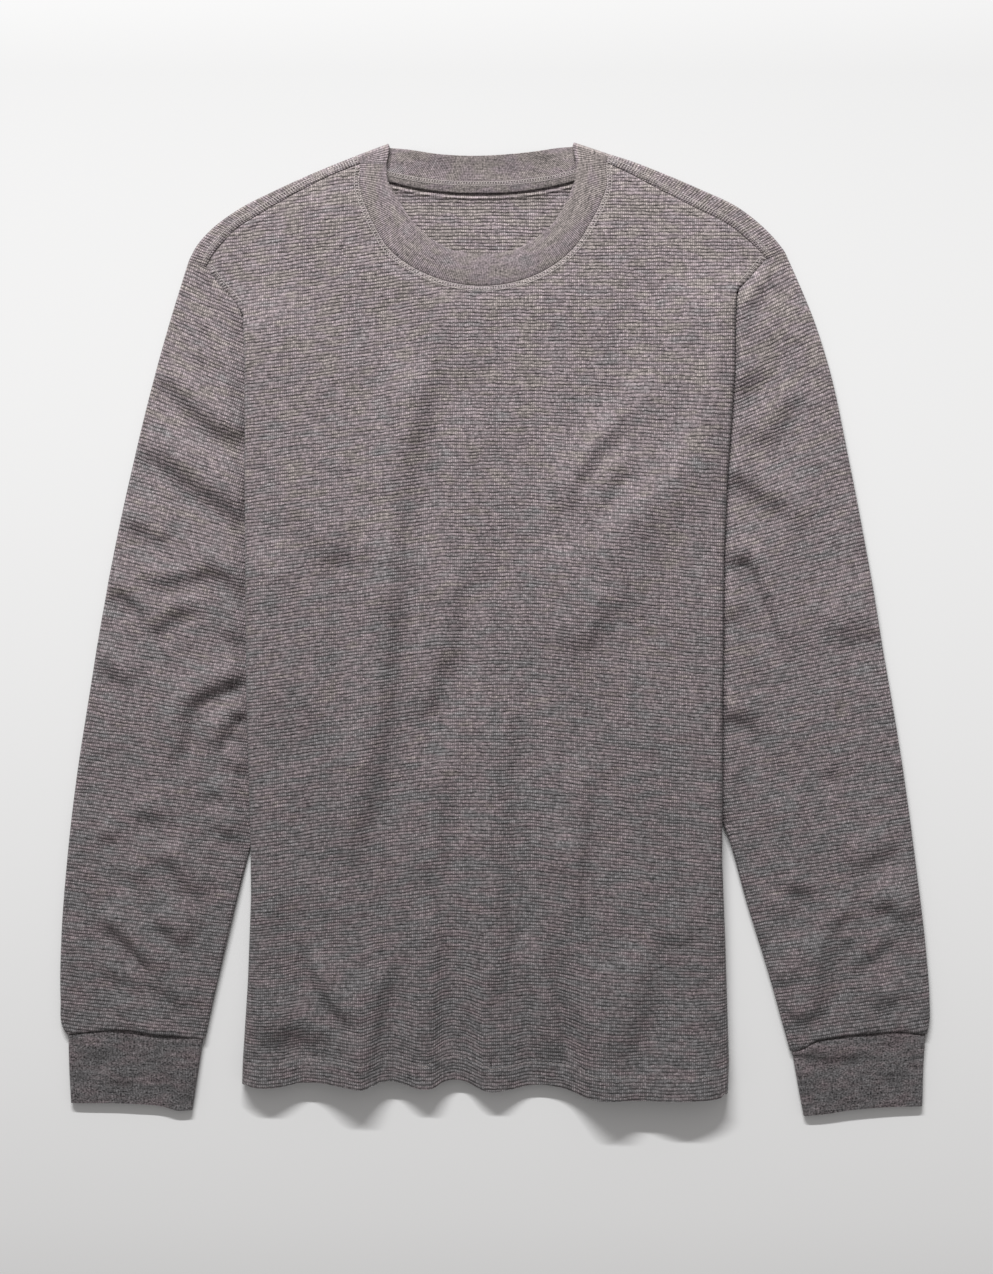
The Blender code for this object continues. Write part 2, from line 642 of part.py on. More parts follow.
def back_panel(finish):
    strips = {side: shoulder_strip(side) for side in FOLD}
    left_top = [tuple(point) for point in strips["left"][0]]
    right_top = [tuple(point) for point in strips["right"][0]][::-1]
    neck = smooth_curve([left_top[-1][:2], *NECK_BACK_SEAM, right_top[0][:2]])
    neck_run = offset_run(samples(neck, BACK_NECK_COLUMNS), SEAM_INSET)[1:-1]
    grids, edges = [], {}
    for side, corner in (("left", left_top[0]), ("right", right_top[-1])):
        armhole = offset_run(ARMHOLE[side][1:], -SIGN[side] * SEAM_INSET)
        rows = side_rows(side, np.array([corner[:2], *armhole]), RAMP_EDGE_BACK)
        rows[0] = rows[0]._replace(closing=0.0)
        grid = []
        for row in rows:
            start = row.closing * BACK_SETBACK
            width = row.closing * PLY / 2
            top_z = back_height(*(row.edge + row.towards * (start + width)))
            flap_z = max(FLOOR_PLY, top_z - PLY * row.closing)
            heights = (top_z, (top_z + flap_z) / 2, flap_z)
            grid.append(roll(side, row, start, width, heights, back_flap_height))
        grids.append(grid)
        edges[side] = [row[-1] for row in grid]
    rise = np.array([0.0, BACK_HEM_RISE])
    hem = between(edges["right"][-1], edges["left"][-1], smooth_curve(HEM[::-1]), BACK_HEM_COLUMNS)
    hem_points = []
    for point in hem[1:-1]:
        plan = np.array([point[0], 0.0]) + rise
        hem_points.append((*plan, back_height(*plan)))
    neck_points = [(*point, back_height(*point)) for point in neck_run]
    outline = (
        edges["left"][::-1] + left_top[1:] + neck_points + right_top + edges["right"][1:]
        + hem_points
    )
    lines = back_lines("left") + back_lines("right")
    inside = filled(outline, lines, BACK_SPACING, back_height)
    return cloth("back_panel", [*grids, strips["left"], strips["right"]], WALL, finish, inside)


# ---- sleeves and cuffs ----


def tube(plan, wall, floor, top_height):
    """Rings of a flattened tube on rows of plan points, each from one edge to the other."""
    rings = []
    for row in plan:
        flat = np.array(row, float)
        ends = []
        for edge, inner in ((0, 1), (-1, -2)):
            towards = unit(row[inner] - row[edge])
            radius = (top_height(row[edge]) - floor) / 2
            flat[edge] = row[edge] + towards * (wall / 2 + radius)
            arc = []
            for k in range(1, 2 * ROLL_STEPS):
                angle = 0.5 * math.pi * (1.0 - k / ROLL_STEPS)
                across = flat[edge] - towards * radius * math.cos(angle)
                arc.append((*across, floor + radius * (1.0 + math.sin(angle))))
            ends.append(arc)
        top = [(*point, top_height(point)) for point in flat]
        top[0] = (*flat[0], top_height(row[0]))
        top[-1] = (*flat[-1], top_height(row[-1]))
        under = [(*point, floor) for point in flat[::-2]]
        rings.append(top + ends[1] + under + ends[0][::-1] + [top[0]])
    return rings


def sleeve_columns(side):
    """The armhole's points, from the shoulder to the underarm, and the cuff seam's points."""
    hidden = []
    for k in range(1, ARMHOLE_HIDDEN_COLUMNS):
        y = fold_top(side) + (UNDERARM_Y - fold_top(side)) * k / ARMHOLE_HIDDEN_COLUMNS
        hidden.append((fold_x(side, y) + SIGN[side] * flap_width(side, y), y))
    armhole = np.array([*ARMHOLE[side], *hidden, SLEEVE_INNER[side][0]])
    cuff_seam = smooth_curve(CUFF_SEAM[side])
    return armhole, np.array([cuff_seam(place) for place in fractions(armhole)])


def sleeve(side, finish):
    armhole, cuff_seam = sleeve_columns(side)
    top = offset_run(armhole, SIGN[side] * SEAM_INSET)
    bottom = offset_run(cuff_seam, -SIGN[side] * SEAM_INSET)
    outer = samples(smooth_curve([top[0], *SLEEVE_OUTER[side][1:-1], bottom[0]]), SLEEVE_ROWS)
    inner = samples(smooth_curve([top[-1], *SLEEVE_INNER[side][1:-1], bottom[-1]]), SLEEVE_ROWS)
    rows = np.linspace(0.0, 1.0, SLEEVE_ROWS + 1)
    plan = coons(top, bottom, outer, inner, fractions(armhole), rows)

    def top_height(point):
        x, y = point
        free = float(smoothstep(*SLEEVE_FLAT, -inward(side, x, y)))
        edges = at_height(SLEEVE_OUTER[side], y), at_height(SLEEVE_INNER[side], y)
        across = min(max((x - edges[0]) / (edges[1] - edges[0]), 0.0), 1.0)
        full = float(smoothstep(0.0, SLEEVE_FULL_BELOW, fold_top(side) - y + SHOULDER_DROP))
        loft = SLEEVE_EDGE_LOFT + SLEEVE_CROWN * math.sin(math.pi * across)
        folds = relief(SLEEVE_FOLDS[side], x, y)
        return FLOOR_PLY + PLY + free * (LOFT + full * loft + folds)

    return cloth(f"sleeve_{side}", [tube(plan, WALL, FLOOR_PLY, top_height)], WALL, finish)


def cuff(side, finish):
    floor = CUFF_WALL / 2
    _, seam = sleeve_columns(side)
    seam[0], seam[-1] = CUFF_OUTER[side][0], CUFF_INNER[side][0]
    places = fractions(seam)
    top = offset_run(seam, SIGN[side] * SEAM_INSET)
    edge = smooth_curve(CUFF_EDGE[side])
    bottom = [edge(place) for place in places]
    outer = samples(smooth_curve([top[0], *CUFF_OUTER[side][1:]]), CUFF_ROWS)
    inner = samples(smooth_curve([top[-1], *CUFF_INNER[side][1:]]), CUFF_ROWS)
    plan = coons(top, bottom, outer, inner, places, np.linspace(0.0, 1.0, CUFF_ROWS + 1))
    middle = (seam[0] + seam[-1]) / 2
    half_width = np.linalg.norm(seam[0] - seam[-1]) / 2

    def top_height(point):
        off_middle = min(1.0, abs(point[0] - middle[0]) / half_width)
        return floor + CUFF_WALL + CUFF_LOFT + CUFF_CROWN * math.cos(0.5 * math.pi * off_middle)

    return cloth(f"cuff_{side}", [tube(plan, CUFF_WALL, floor, top_height)], CUFF_WALL, finish)


# ---- neck ----


def band_row(seam, edge, height):
    """Points across the band, from its seam to its free edge."""
    return [(*(seam + (edge - seam) * k / BAND_ROWS), height) for k in range(BAND_ROWS + 1)]


def band_turn(side):
    """Rows of the band's fold above a shoulder, from the front's height down to the floor's."""
    floor = BAND_WALL / 2
    radius = (band_height() - floor) / 2
    seam = np.array(SHOULDER_EDGE[side][0])
    tip = np.array(NECK_FRONT_EDGE[0 if side == "left" else -1])
    along = unit(tip - seam)
    forward = np.array([along[1], -along[0]]) * SIGN[side]
    rows = []
    for k in range(2 * ROLL_STEPS + 1):
        angle = 0.5 * math.pi * (1.0 - k / ROLL_STEPS)
        shift = forward * (BAND_WALL / 2 + radius * (1.0 - math.cos(angle)))
        height = floor + radius * (1.0 + math.sin(angle))
        rows.append(band_row(seam + along * SEAM_INSET + shift, tip + shift, height))
    return rows


def band_height():
    return float(shoulder_height(*NECK_CENTRE))


def neckband(finish):
    """A ring of doubled rib, lying flat, which turns over at a fold above each shoulder."""
    front_seam = offset_run(samples(smooth_curve(NECK_FRONT_SEAM), NECK_COLUMNS), -SEAM_INSET)
    front_edge = samples(smooth_curve(NECK_FRONT_EDGE[1:-1]), NECK_COLUMNS)
    front = [band_row(*ends, band_height()) for ends in zip(front_seam, front_edge)]
    left, right = band_turn("left"), band_turn("right")
    seam_ends = [np.array(turn[-1][0][:2]) for turn in (left, right)]
    edge_ends = [np.array(turn[-1][-1][:2]) for turn in (left, right)]
    back_seam = smooth_curve([seam_ends[0], *NECK_BACK_SEAM, seam_ends[1]])
    back_edge = smooth_curve([edge_ends[0], *NECK_BACK_EDGE[1:-1], edge_ends[1]])
    seam_run = offset_run(samples(back_seam, BACK_NECK_COLUMNS), -SEAM_INSET)
    edge_run = samples(back_edge, BACK_NECK_COLUMNS)
    back = [band_row(*ends, BAND_WALL / 2) for ends in zip(seam_run, edge_run)][1:-1]
    ring = front + right + back[::-1] + left[::-1]
    return cloth("neckband", [ring + [ring[0]]], BAND_WALL, finish)


def neck_tape(finish):
    """A strip over the back neck seam, inside."""
    height = BAND_WALL + TAPE_AIR + TAPE_WALL / 2
    top = samples(smooth_curve(TAPE_TOP), BACK_NECK_COLUMNS)
    bottom = samples(smooth_curve(TAPE_BOTTOM), BACK_NECK_COLUMNS)
    rows = [[(*point, height) for point in run] for run in (top, bottom)]
    return cloth("neck_tape", [rows], TAPE_WALL, finish)


def centre_on_floor(pieces):
    """Moves every mesh so that the middle of the whole box stands over the origin."""
    graph = bpy.context.evaluated_depsgraph_get()
    corners = []
    for piece in pieces:
        evaluated = piece.evaluated_get(graph)
        corners += [evaluated.matrix_world @ vertex.co for vertex in evaluated.data.vertices]
    low = [min(corner[axis] for corner in corners) for axis in range(3)]
    high = [max(corner[axis] for corner in corners) for axis in range(3)]
    shift = (-(low[0] + high[0]) / 2, -(low[1] + high[1]) / 2, -low[2])
    for piece in pieces:
        for vertex in piece.data.vertices:
            vertex.co = [value + move for value, move in zip(vertex.co, shift)]
    print("moved by, in mm:", [round(value / MM, 3) for value in shift])


def main():
    for leftover in list(bpy.data.objects):
        bpy.data.objects.remove(leftover)
    waffle, rib, tape = material("waffle"), material("rib"), material("tape")
    pieces = [front_panel(waffle), back_panel(waffle), neckband(rib), neck_tape(tape)]
    for side in FOLD:
        pieces += [sleeve(side, waffle), cuff(side, rib)]
    centre_on_floor(pieces)


main()
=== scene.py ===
# %% [markdown]
# # A waffle-knit thermal top, laid flat
# A long-sleeved top lies on a pale surface with its front up. Its sides are turned under the
# body and its sleeves come out from below, straight down beside it. Every piece here is a sheet
# of knitted cloth, so each one could be simulated or modelled. A garment that somebody has laid
# out by hand hardly moves, and its folds are few and known, so we model them: each piece starts
# from the lines along which it was cut and sewn, and gets its height from what lies below it.

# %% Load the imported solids
import json
import math

import bmesh
import bpy
import numpy as np
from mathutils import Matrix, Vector
from mathutils.bvhtree import BVHTree
from mathutils.geometry import delaunay_2d_cdt

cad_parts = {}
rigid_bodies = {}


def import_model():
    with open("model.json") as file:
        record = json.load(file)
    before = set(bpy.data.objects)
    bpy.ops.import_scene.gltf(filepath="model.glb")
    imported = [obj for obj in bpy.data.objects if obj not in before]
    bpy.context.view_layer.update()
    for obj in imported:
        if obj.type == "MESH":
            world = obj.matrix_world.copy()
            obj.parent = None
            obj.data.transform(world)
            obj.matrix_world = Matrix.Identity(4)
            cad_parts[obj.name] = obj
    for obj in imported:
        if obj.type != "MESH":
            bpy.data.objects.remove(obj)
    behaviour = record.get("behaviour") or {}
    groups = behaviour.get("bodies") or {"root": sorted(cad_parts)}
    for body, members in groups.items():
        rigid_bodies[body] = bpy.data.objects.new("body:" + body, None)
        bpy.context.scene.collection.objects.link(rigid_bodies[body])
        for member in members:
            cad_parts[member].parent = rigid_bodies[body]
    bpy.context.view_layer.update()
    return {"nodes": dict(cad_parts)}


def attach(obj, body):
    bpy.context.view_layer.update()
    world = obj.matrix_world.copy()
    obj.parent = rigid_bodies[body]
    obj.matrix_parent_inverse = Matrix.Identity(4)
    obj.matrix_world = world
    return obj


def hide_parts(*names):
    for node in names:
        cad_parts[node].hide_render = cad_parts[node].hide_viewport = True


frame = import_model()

MM = 0.001
print("solids:", sorted(frame["nodes"]))

# %% [markdown]
# ## Where the light falls
# The top is seen from straight above, so the camera looks down the Z axis through a long lens,
# which keeps the sides from leaning. One large soft light hangs beyond the collar, a little to
# the left, and is tipped past the garment, so that the shoulders get more of it than the hem.
# It rakes over the cloth, which is what shows the knit and the folds; light from overhead would
# flatten both. A pale world fills the shadows.

# %% Camera
VIEW_CENTRE = (1.35 * MM, -6.10 * MM)
VIEW_HEIGHT = 0.981
LENS = 85.0
SENSOR = 36.0
CLOTH_LEVEL = 5 * MM

scene = bpy.context.scene
camera = bpy.data.objects.new("camera", bpy.data.cameras.new("camera"))
scene.collection.objects.link(camera)
camera.data.lens = LENS
camera.data.sensor_width = SENSOR
camera.location = (*VIEW_CENTRE, CLOTH_LEVEL + VIEW_HEIGHT * LENS / SENSOR)
scene.camera = camera
scene.view_settings.view_transform = "Standard"
print("camera height:", round(camera.location.z, 3))

# %% Lights
KEY_PLACE = (-0.885, 4.773, 3.5)
KEY_AIM = (-0.785, 6.93, 0.0)
KEY_SIZE = 3.2
KEY_WATTS = 7000.0
FILL = 0.35
FILL_TONE = (1.0, 0.98, 0.97, 1)


def soft_light(name, place, aim, size, watts):
    """A square area light that faces a point."""
    light = bpy.data.objects.new(name, bpy.data.lights.new(name, "AREA"))
    scene.collection.objects.link(light)
    light.data.size = size
    light.data.energy = watts
    light.location = place
    light.rotation_euler = (Vector(aim) - Vector(place)).to_track_quat("-Z", "Y").to_euler()
    return light


soft_light("key", KEY_PLACE, KEY_AIM, KEY_SIZE, KEY_WATTS)
world = bpy.data.worlds.new("studio")
world.use_nodes = True
background = world.node_tree.nodes["Background"]
background.inputs["Color"].default_value = FILL_TONE
background.inputs["Strength"].default_value = FILL
scene.world = world
print("key light at", KEY_PLACE)

# %% [markdown]
# ## Writing finishes as sums
# A finish is a tree of nodes, which is slow to read and to write. This small class wraps one
# socket, so that an expression such as groove * 0.5 + 0.5 makes its Math nodes by itself.
# Every other node comes from the one method node().

# %% A socket that can be used in sums


class Wire:
    """An output socket of a node tree, for use in Python expressions."""

    def __init__(self, tree, socket=None):
        self.tree = tree
        self.socket = socket

    def node(self, kind, settings=None, values=None, output=0):
        """A new node: its settings first, then the numbers or wires of its sockets."""
        made = self.tree.nodes.new(kind)
        for name, value in (settings or {}).items():
            if name == "stops":
                while len(made.color_ramp.elements) < len(value):
                    made.color_ramp.elements.new(0.5)
                for element, (place, colour) in zip(made.color_ramp.elements, value):
                    element.position = place
                    element.color = colour
            else:
                setattr(made, name, value)
        for name, value in (values or {}).items():
            if isinstance(value, Wire):
                self.tree.links.new(value.socket, made.inputs[name])
            else:
                made.inputs[name].default_value = value
        return Wire(self.tree, made.outputs[output])

    def output(self, name):
        """Another output of the same node."""
        return Wire(self.tree, self.socket.node.outputs[name])

    def math(self, operation, *numbers):
        values = dict(enumerate(numbers))
        return self.node("ShaderNodeMath", {"operation": operation}, values)

    def __add__(self, other):
        return self.math("ADD", self, other)

    def __radd__(self, other):
        return self.math("ADD", other, self)

    def __sub__(self, other):
        return self.math("SUBTRACT", self, other)

    def __rsub__(self, other):
        return self.math("SUBTRACT", other, self)

    def __mul__(self, other):
        return self.math("MULTIPLY", self, other)

    def __rmul__(self, other):
        return self.math("MULTIPLY", other, self)

    def __pow__(self, other):
        return self.math("POWER", self, other)


def finish_tree(name):
    """A new material, a wire to build with, and its main shader node."""
    made = bpy.data.materials.new(name)
    made.use_nodes = True
    return made, Wire(made.node_tree), made.node_tree.nodes["Principled BSDF"]


print("wires ready")

# %% [markdown]
# ## The surface below
# The garment lies on a plain pale board. It isn't part of the object.
# Less light reaches it below the hem, so it is painted paler there, which keeps it plain to see.

# %% The board
BOARD = 6.0
# painted light: the board is painted paler below the hem, where less light reaches it, and darker
# towards the collar
BOARD_PAINTED_LIGHT = [(0.045, 0.81), (0.52, 0.57), (0.93, 0.375)]  # from below the hem to the collar
BOARD_START = 0.5  # metres below the middle, where the tones begin
BOARD_ROUGHNESS, BOARD_SPECULAR = 0.9, 0.1

board_mesh = bpy.data.meshes.new("board")
half = BOARD / 2
board_mesh.from_pydata(
    [(-half, -half, 0), (half, -half, 0), (half, half, 0), (-half, half, 0)], [], [(0, 1, 2, 3)]
)
board = bpy.data.objects.new("board", board_mesh)
scene.collection.objects.link(board)
board_finish, wire, shader = finish_tree("board")
where = wire.node("ShaderNodeTexCoord", output="Object")
board_y = wire.node("ShaderNodeSeparateXYZ", values={"Vector": where}, output="Y")
# painted light along Y, making up for the key light's falloff
board_painted_falloff = wire.node(
    "ShaderNodeValToRGB",
    {"stops": [(place, (tone, tone, tone, 1)) for place, tone in BOARD_PAINTED_LIGHT]},
    {"Fac": board_y + BOARD_START},
)
board_finish.node_tree.links.new(board_painted_falloff.socket, shader.inputs["Base Color"])
shader.inputs["Roughness"].default_value = BOARD_ROUGHNESS
shader.inputs["Specular IOR Level"].default_value = BOARD_SPECULAR
board_mesh.materials.append(board_finish)
print("board", BOARD, "m wide")

# %% [markdown]
# ## The lines of the cut
# A garment is drawn by its seams and its edges. These are the same lines as those of the solids:
# columns of x and y in millimetres, measured from the middle of the hem. "left" is the side at
# -X. Each piece is later moved into the frame of the solids by one shift.

# %% Cloth and plies
WALL = 1.5  # waffle knit
BAND_WALL = 2.4
CUFF_WALL = 2.0
TAPE_WALL = 1.0
PLY = 2.1  # from the middle of one ply to the middle of the next
SEAM_INSET = 0.12  # each piece stops this far short of a seam line
FLOOR_PLY = WALL / 2
TO_FRAME = (-7.509, -356.449, 0.0)
SIGN = {"left": 1, "right": -1}  # the way inwards, along X

# %% Shoulders and armholes
SHOULDER_EDGE = {  # the top edge of the shoulder, from the neck to the arm
    "left": [(-98.5, 721.5), (-127.0, 710.0), (-161.5, 694.5), (-191.5, 679.0), (-212.0, 663.5),
        (-222.5, 651.5), (-228.5, 640.0)],
    "right": [(95.5, 722.5), (111.5, 717.5), (135.0, 708.5), (165.5, 695.5), (196.5, 680.5),
        (212.0, 668.5), (223.5, 657.0), (231.0, 647.5)],
}
SHOULDER_SEAM = {  # the forward seam, from the neck to the arm
    "left": [(-96.0, 715.0), (-115.0, 707.5), (-144.5, 693.0), (-174.0, 676.0), (-189.5, 666.5),
        (-200.5, 656.5), (-210.0, 645.0), (-215.0, 636.0)],
    "right": [(93.0, 716.0), (111.0, 707.5), (132.5, 696.0), (162.0, 681.0), (191.5, 665.5),
        (201.5, 657.5), (209.5, 650.5), (217.0, 642.0)],
}
ARMHOLE = {  # the stretch on top, from the shoulder seam's end to where the fold covers it
    "left": [(-215.0, 636.0), (-203.5, 620.0), (-193.5, 609.0), (-186.5, 598.5)],
    "right": [(217.0, 642.0), (210.0, 633.5), (202.5, 624.5), (194.0, 616.0)],
}
FOLD = {  # the body's side, downwards
    "left": [(-186.5, 598.5), (-185.0, 563.5), (-185.0, 456.0), (-183.5, 302.0), (-180.5, 200.0),
        (-180.0, 150.0), (-182.5, 86.0), (-186.5, 25.0), (-187.0, 7.0)],
    "right": [(194.0, 616.0), (192.5, 586.5), (192.5, 556.5), (189.5, 512.0), (186.5, 471.0),
        (184.0, 409.5), (183.0, 300.0), (182.5, 178.5), (185.0, 117.0), (188.0, 24.5),
        (187.0, 0.0)],
}

# %% Sleeves and cuffs
SLEEVE_OUTER = {  # from the shoulder to the cuff
    "left": [(-228.5, 640.0), (-242.5, 594.5), (-255.5, 548.0), (-270.5, 486.5), (-284.0, 425.0),
        (-295.5, 363.5), (-305.5, 302.0), (-315.0, 240.0), (-322.0, 178.5), (-326.5, 117.0),
        (-327.0, 71.0), (-325.5, 50.0), (-322.5, 44.5)],
    "right": [(231.0, 647.5), (241.0, 625.0), (253.5, 594.5), (263.5, 563.5), (280.5, 486.5),
        (289.5, 440.5), (298.0, 394.0), (305.5, 348.0), (321.0, 255.5), (333.5, 163.0),
        (339.0, 117.0), (342.5, 71.0), (342.5, 54.0), (340.5, 44.5)],
}
SLEEVE_INNER = {  # from the underarm to the cuff
    "left": [(-104.5, 409.5), (-136.5, 332.5), (-161.0, 255.5), (-183.5, 178.5), (-198.5, 117.0),
        (-212.5, 55.5), (-215.5, 41.0)],
    "right": [(103.0, 409.5), (135.0, 332.5), (163.0, 255.5), (188.0, 194.0), (201.0, 148.0),
        (220.0, 86.0), (229.5, 51.5), (235.0, 31.5)],
}
CUFF_SEAM = {  # from the outer edge to the inner one
    "left": [(-322.5, 44.5), (-300.5, 47.0), (-277.0, 48.5), (-250.0, 44.5), (-215.5, 41.0)],
    "right": [(340.5, 44.5), (315.5, 47.0), (296.5, 45.5), (269.5, 43.0), (254.0, 39.5),
        (245.0, 34.0), (235.0, 31.5)],
}
CUFF_OUTER = {
    "left": [(-321.0, 44.5), (-320.5, 21.0), (-319.0, -8.5)],
    "right": [(339.5, 44.5), (338.0, 23.0), (337.0, -11.0)],
}
CUFF_INNER = {
    "left": [(-217.0, 41.0), (-222.0, 9.0), (-225.5, -14.0)],
    "right": [(236.5, 31.5), (242.5, -2.5), (245.5, -18.5)],
}
CUFF_EDGE = {
    "left": [(-319.0, -8.5), (-273.5, -9.0), (-246.5, -11.5), (-238.5, -14.0), (-225.5, -14.0)],
    "right": [(337.0, -11.0), (312.0, -11.5), (281.0, -14.0), (258.0, -17.5), (245.5, -18.5)],
}

# %% Hem and neck
HEM = [  # the front hem, from the left fold to the right one
    (-187.0, 7.0), (-174.0, 4.5), (-155.0, 5.5), (-140.0, 8.5), (-122.5, 7.5), (-107.0, 5.5),
    (-94.5, 3.5), (-80.0, 8.5), (-71.0, 9.0), (-62.5, 7.0), (-52.5, 4.0), (-40.0, 4.0),
    (-32.5, 8.5), (-24.5, 10.0), (-14.5, 8.5), (-1.5, 2.0), (21.5, 3.0), (32.5, 5.5),
    (58.0, 4.0), (68.0, 1.0), (78.0, -3.0), (108.0, -4.5), (161.0, -4.5), (179.5, -3.0),
    (187.0, 0.0),
]
NECK_FRONT_SEAM = [
    (-96.0, 715.0), (-96.5, 698.5), (-91.0, 680.5), (-84.0, 665.5), (-73.0, 648.5),
    (-60.0, 638.0), (-47.0, 631.0), (-31.0, 625.0), (-1.0, 621.0), (15.5, 622.5), (35.5, 628.0),
    (55.5, 639.0), (68.5, 650.5), (80.0, 668.0), (88.5, 684.0), (93.5, 698.5), (93.0, 716.0),
]
NECK_FRONT_EDGE = [
    (-74.5, 730.5), (-76.0, 714.0), (-74.5, 701.0), (-68.0, 689.5), (-59.0, 674.5),
    (-47.0, 661.5), (-30.0, 650.0), (-17.5, 646.5), (-1.0, 645.5), (22.5, 648.5), (39.5, 657.5),
    (52.5, 669.0), (63.0, 687.0), (69.0, 702.0), (70.0, 717.5), (68.5, 731.5),
]
NECK_BACK_EDGE = [
    (-74.5, 730.5), (-60.0, 726.0), (-37.5, 722.5), (-11.0, 721.0), (15.5, 722.0),
    (39.5, 724.5), (55.5, 727.0), (68.5, 731.5),
]
NECK_BACK_SEAM = [  # between the two shoulder rolls, which give its ends
    (-87.0, 708.5), (-73.0, 702.0), (-51.0, 697.0), (-24.5, 694.0), (2.5, 694.0), (28.5, 695.5),
    (55.5, 700.0), (73.0, 704.5), (84.0, 710.0),
]
TAPE_TOP = [(-79.0, 710.5), (-51.0, 704.5), (-24.5, 702.0), (2.5, 701.5), (28.5, 703.0),
    (55.5, 707.0), (75.0, 712.5)]
TAPE_BOTTOM = [(-79.0, 702.5), (-51.0, 696.0), (-24.5, 693.0), (2.5, 692.5), (28.5, 694.0),
    (55.5, 698.5), (75.0, 703.5)]
print("body", FOLD["right"][-1][0] - FOLD["left"][-1][0], "mm wide at the hem")

# %% [markdown]
# ## Curves through the lines
# The columns above are few, so every run is drawn as a smooth curve through its points and is
# sampled as finely as the cloth needs. Everything works on whole arrays of points at a time.

# %% Curve helpers
CURVE_SAMPLES = 900
CHUNK = 2000  # plan points measured at a time
TINY = 1e-9


def smoothstep(start, end, value):
    """0 up to start, 1 from end on, and a soft way between them."""
    t = np.clip((value - start) / (end - start), 0.0, 1.0)
    return t * t * (3.0 - 2.0 * t)


def smooth_curve(points):
    """A function from shares 0..1 to points at even speed along a curve through the points."""
    points = np.array(points, float)
    knots = np.concatenate([[0.0], np.cumsum(np.linalg.norm(np.diff(points, axis=0), axis=1))])
    slopes = np.gradient(points, knots, axis=0)
    dense = np.linspace(0.0, knots[-1], CURVE_SAMPLES)
    k = np.clip(np.searchsorted(knots, dense, side="right") - 1, 0, len(knots) - 2)
    step = (knots[k + 1] - knots[k])[:, None]
    t = (dense[:, None] - knots[k][:, None]) / step
    run = (
        (2 * t**3 - 3 * t**2 + 1) * points[k]
        + (t**3 - 2 * t**2 + t) * step * slopes[k]
        + (3 * t**2 - 2 * t**3) * points[k + 1]
        + (t**3 - t**2) * step * slopes[k + 1]
    )
    length = np.concatenate([[0.0], np.cumsum(np.linalg.norm(np.diff(run, axis=0), axis=1))])

    def at(share):
        along = np.asarray(share, float) * length[-1]
        return np.stack(
            [np.interp(along, length, run[:, 0]), np.interp(along, length, run[:, 1])], axis=-1
        )

    at.length = length[-1]
    return at


def sampled(points, count):
    """The curve through the points, as a run of so many equal steps."""
    return smooth_curve(points)(np.linspace(0.0, 1.0, count + 1))


def unit(vectors):
    return vectors / np.maximum(np.linalg.norm(vectors, axis=-1, keepdims=True), TINY)


def offset_run(points, amount):
    """A run of plan points moved sideways, to the right of its own direction."""
    points = np.array(points, float)
    steps = unit(np.diff(points, axis=0))
    normals = np.stack([steps[:, 1], -steps[:, 0]], axis=1)
    before = np.concatenate([normals[:1], normals])
    after = np.concatenate([normals, normals[-1:]])
    mitre = (before + after) / (1.0 + (before * after).sum(axis=1))[:, None]
    return points + amount * mitre


def lengths(points):
    """The distance along a run to each of its points."""
    steps = np.linalg.norm(np.diff(np.array(points, float), axis=0), axis=1)
    return np.concatenate([[0.0], np.cumsum(steps)])


def coons(top, bottom, left, right, u, v):
    """Rows of plan points that fill four edges, at the places u along top and v along left."""
    u = np.asarray(u)[None, :, None]
    v = np.asarray(v)[:, None, None]
    across = (1 - v) * top[None] + v * bottom[None]
    down = (1 - u) * left[:, None] + u * right[:, None]
    corners = (
        (1 - u) * (1 - v) * top[0]
        + u * (1 - v) * top[-1]
        + (1 - u) * v * bottom[0]
        + u * v * bottom[-1]
    )
    return across + down - corners


def clearance(points, runs):
    """The distance from each plan point to the nearest of some runs of points."""
    starts = np.concatenate([np.array(run, float)[:-1] for run in runs])
    ends = np.concatenate([np.array(run, float)[1:] for run in runs])
    run = ends - starts
    squares = np.maximum((run**2).sum(axis=1), TINY)
    nearest = []
    for k in range(0, len(points), CHUNK):
        away = points[k : k + CHUNK, None] - starts[None]
        along = np.clip((away * run).sum(axis=2) / squares, 0.0, 1.0)
        nearest.append(np.linalg.norm(away - along[:, :, None] * run, axis=2).min(axis=1))
    return np.concatenate(nearest) if nearest else np.zeros(0)


def enclosed(points, ring):
    """Whether each plan point lies inside a closed ring."""
    starts, ends = ring, np.roll(ring, -1, axis=0)
    x, y = points[:, 0:1], points[:, 1:2]
    spans = (starts[:, 1] > y) != (ends[:, 1] > y)
    rise = np.where(ends[:, 1] == starts[:, 1], 1.0, ends[:, 1] - starts[:, 1])
    crossing = starts[:, 0] + (y - starts[:, 1]) * (ends[:, 0] - starts[:, 0]) / rise
    return (spans & (x < crossing)).sum(axis=1) % 2 == 1


print("shoulder seam:", round(smooth_curve(SHOULDER_SEAM["left"]).length), "mm")

# %% [markdown]
# ## How high each ply lies
# Where the sleeve and the turned-under sides run below the front, up to six plies lie on each
# other; between them there are two. The front panel comes down from that stack in one broad soft
# ramp on each side, and the back panel, which has the floor against it, in a short one.

# %% Turned-under sides
FLAP_WIDTH = 80.0  # of a turned-under side, at the underarm and below it
FLAP_SHAPE = (0.45, 0.55)  # how straight and how curved its edge is, which is the armhole
UNDERARM_Y = 409.5


def at_height(run, y):
    """The x of a run that only goes down, at this y."""
    x_values, y_values = zip(*run)
    return np.interp(-y, [-value for value in y_values], x_values)


def fold_x(side, y):
    return at_height(FOLD[side], y)


def inward(side, x, y):
    """How far a point lies inside the body's fold line."""
    return (x - fold_x(side, y)) * SIGN[side]


def fold_top(side):
    return FOLD[side][0][1]


def flap_width(side, y):
    """From the fold line to the flap's edge: the armhole, and the side seam below it."""
    t = np.clip((fold_top(side) - y) / (fold_top(side) - UNDERARM_Y), 0.0, 1.0)
    return FLAP_WIDTH * (FLAP_SHAPE[0] * t + FLAP_SHAPE[1] * t**3)


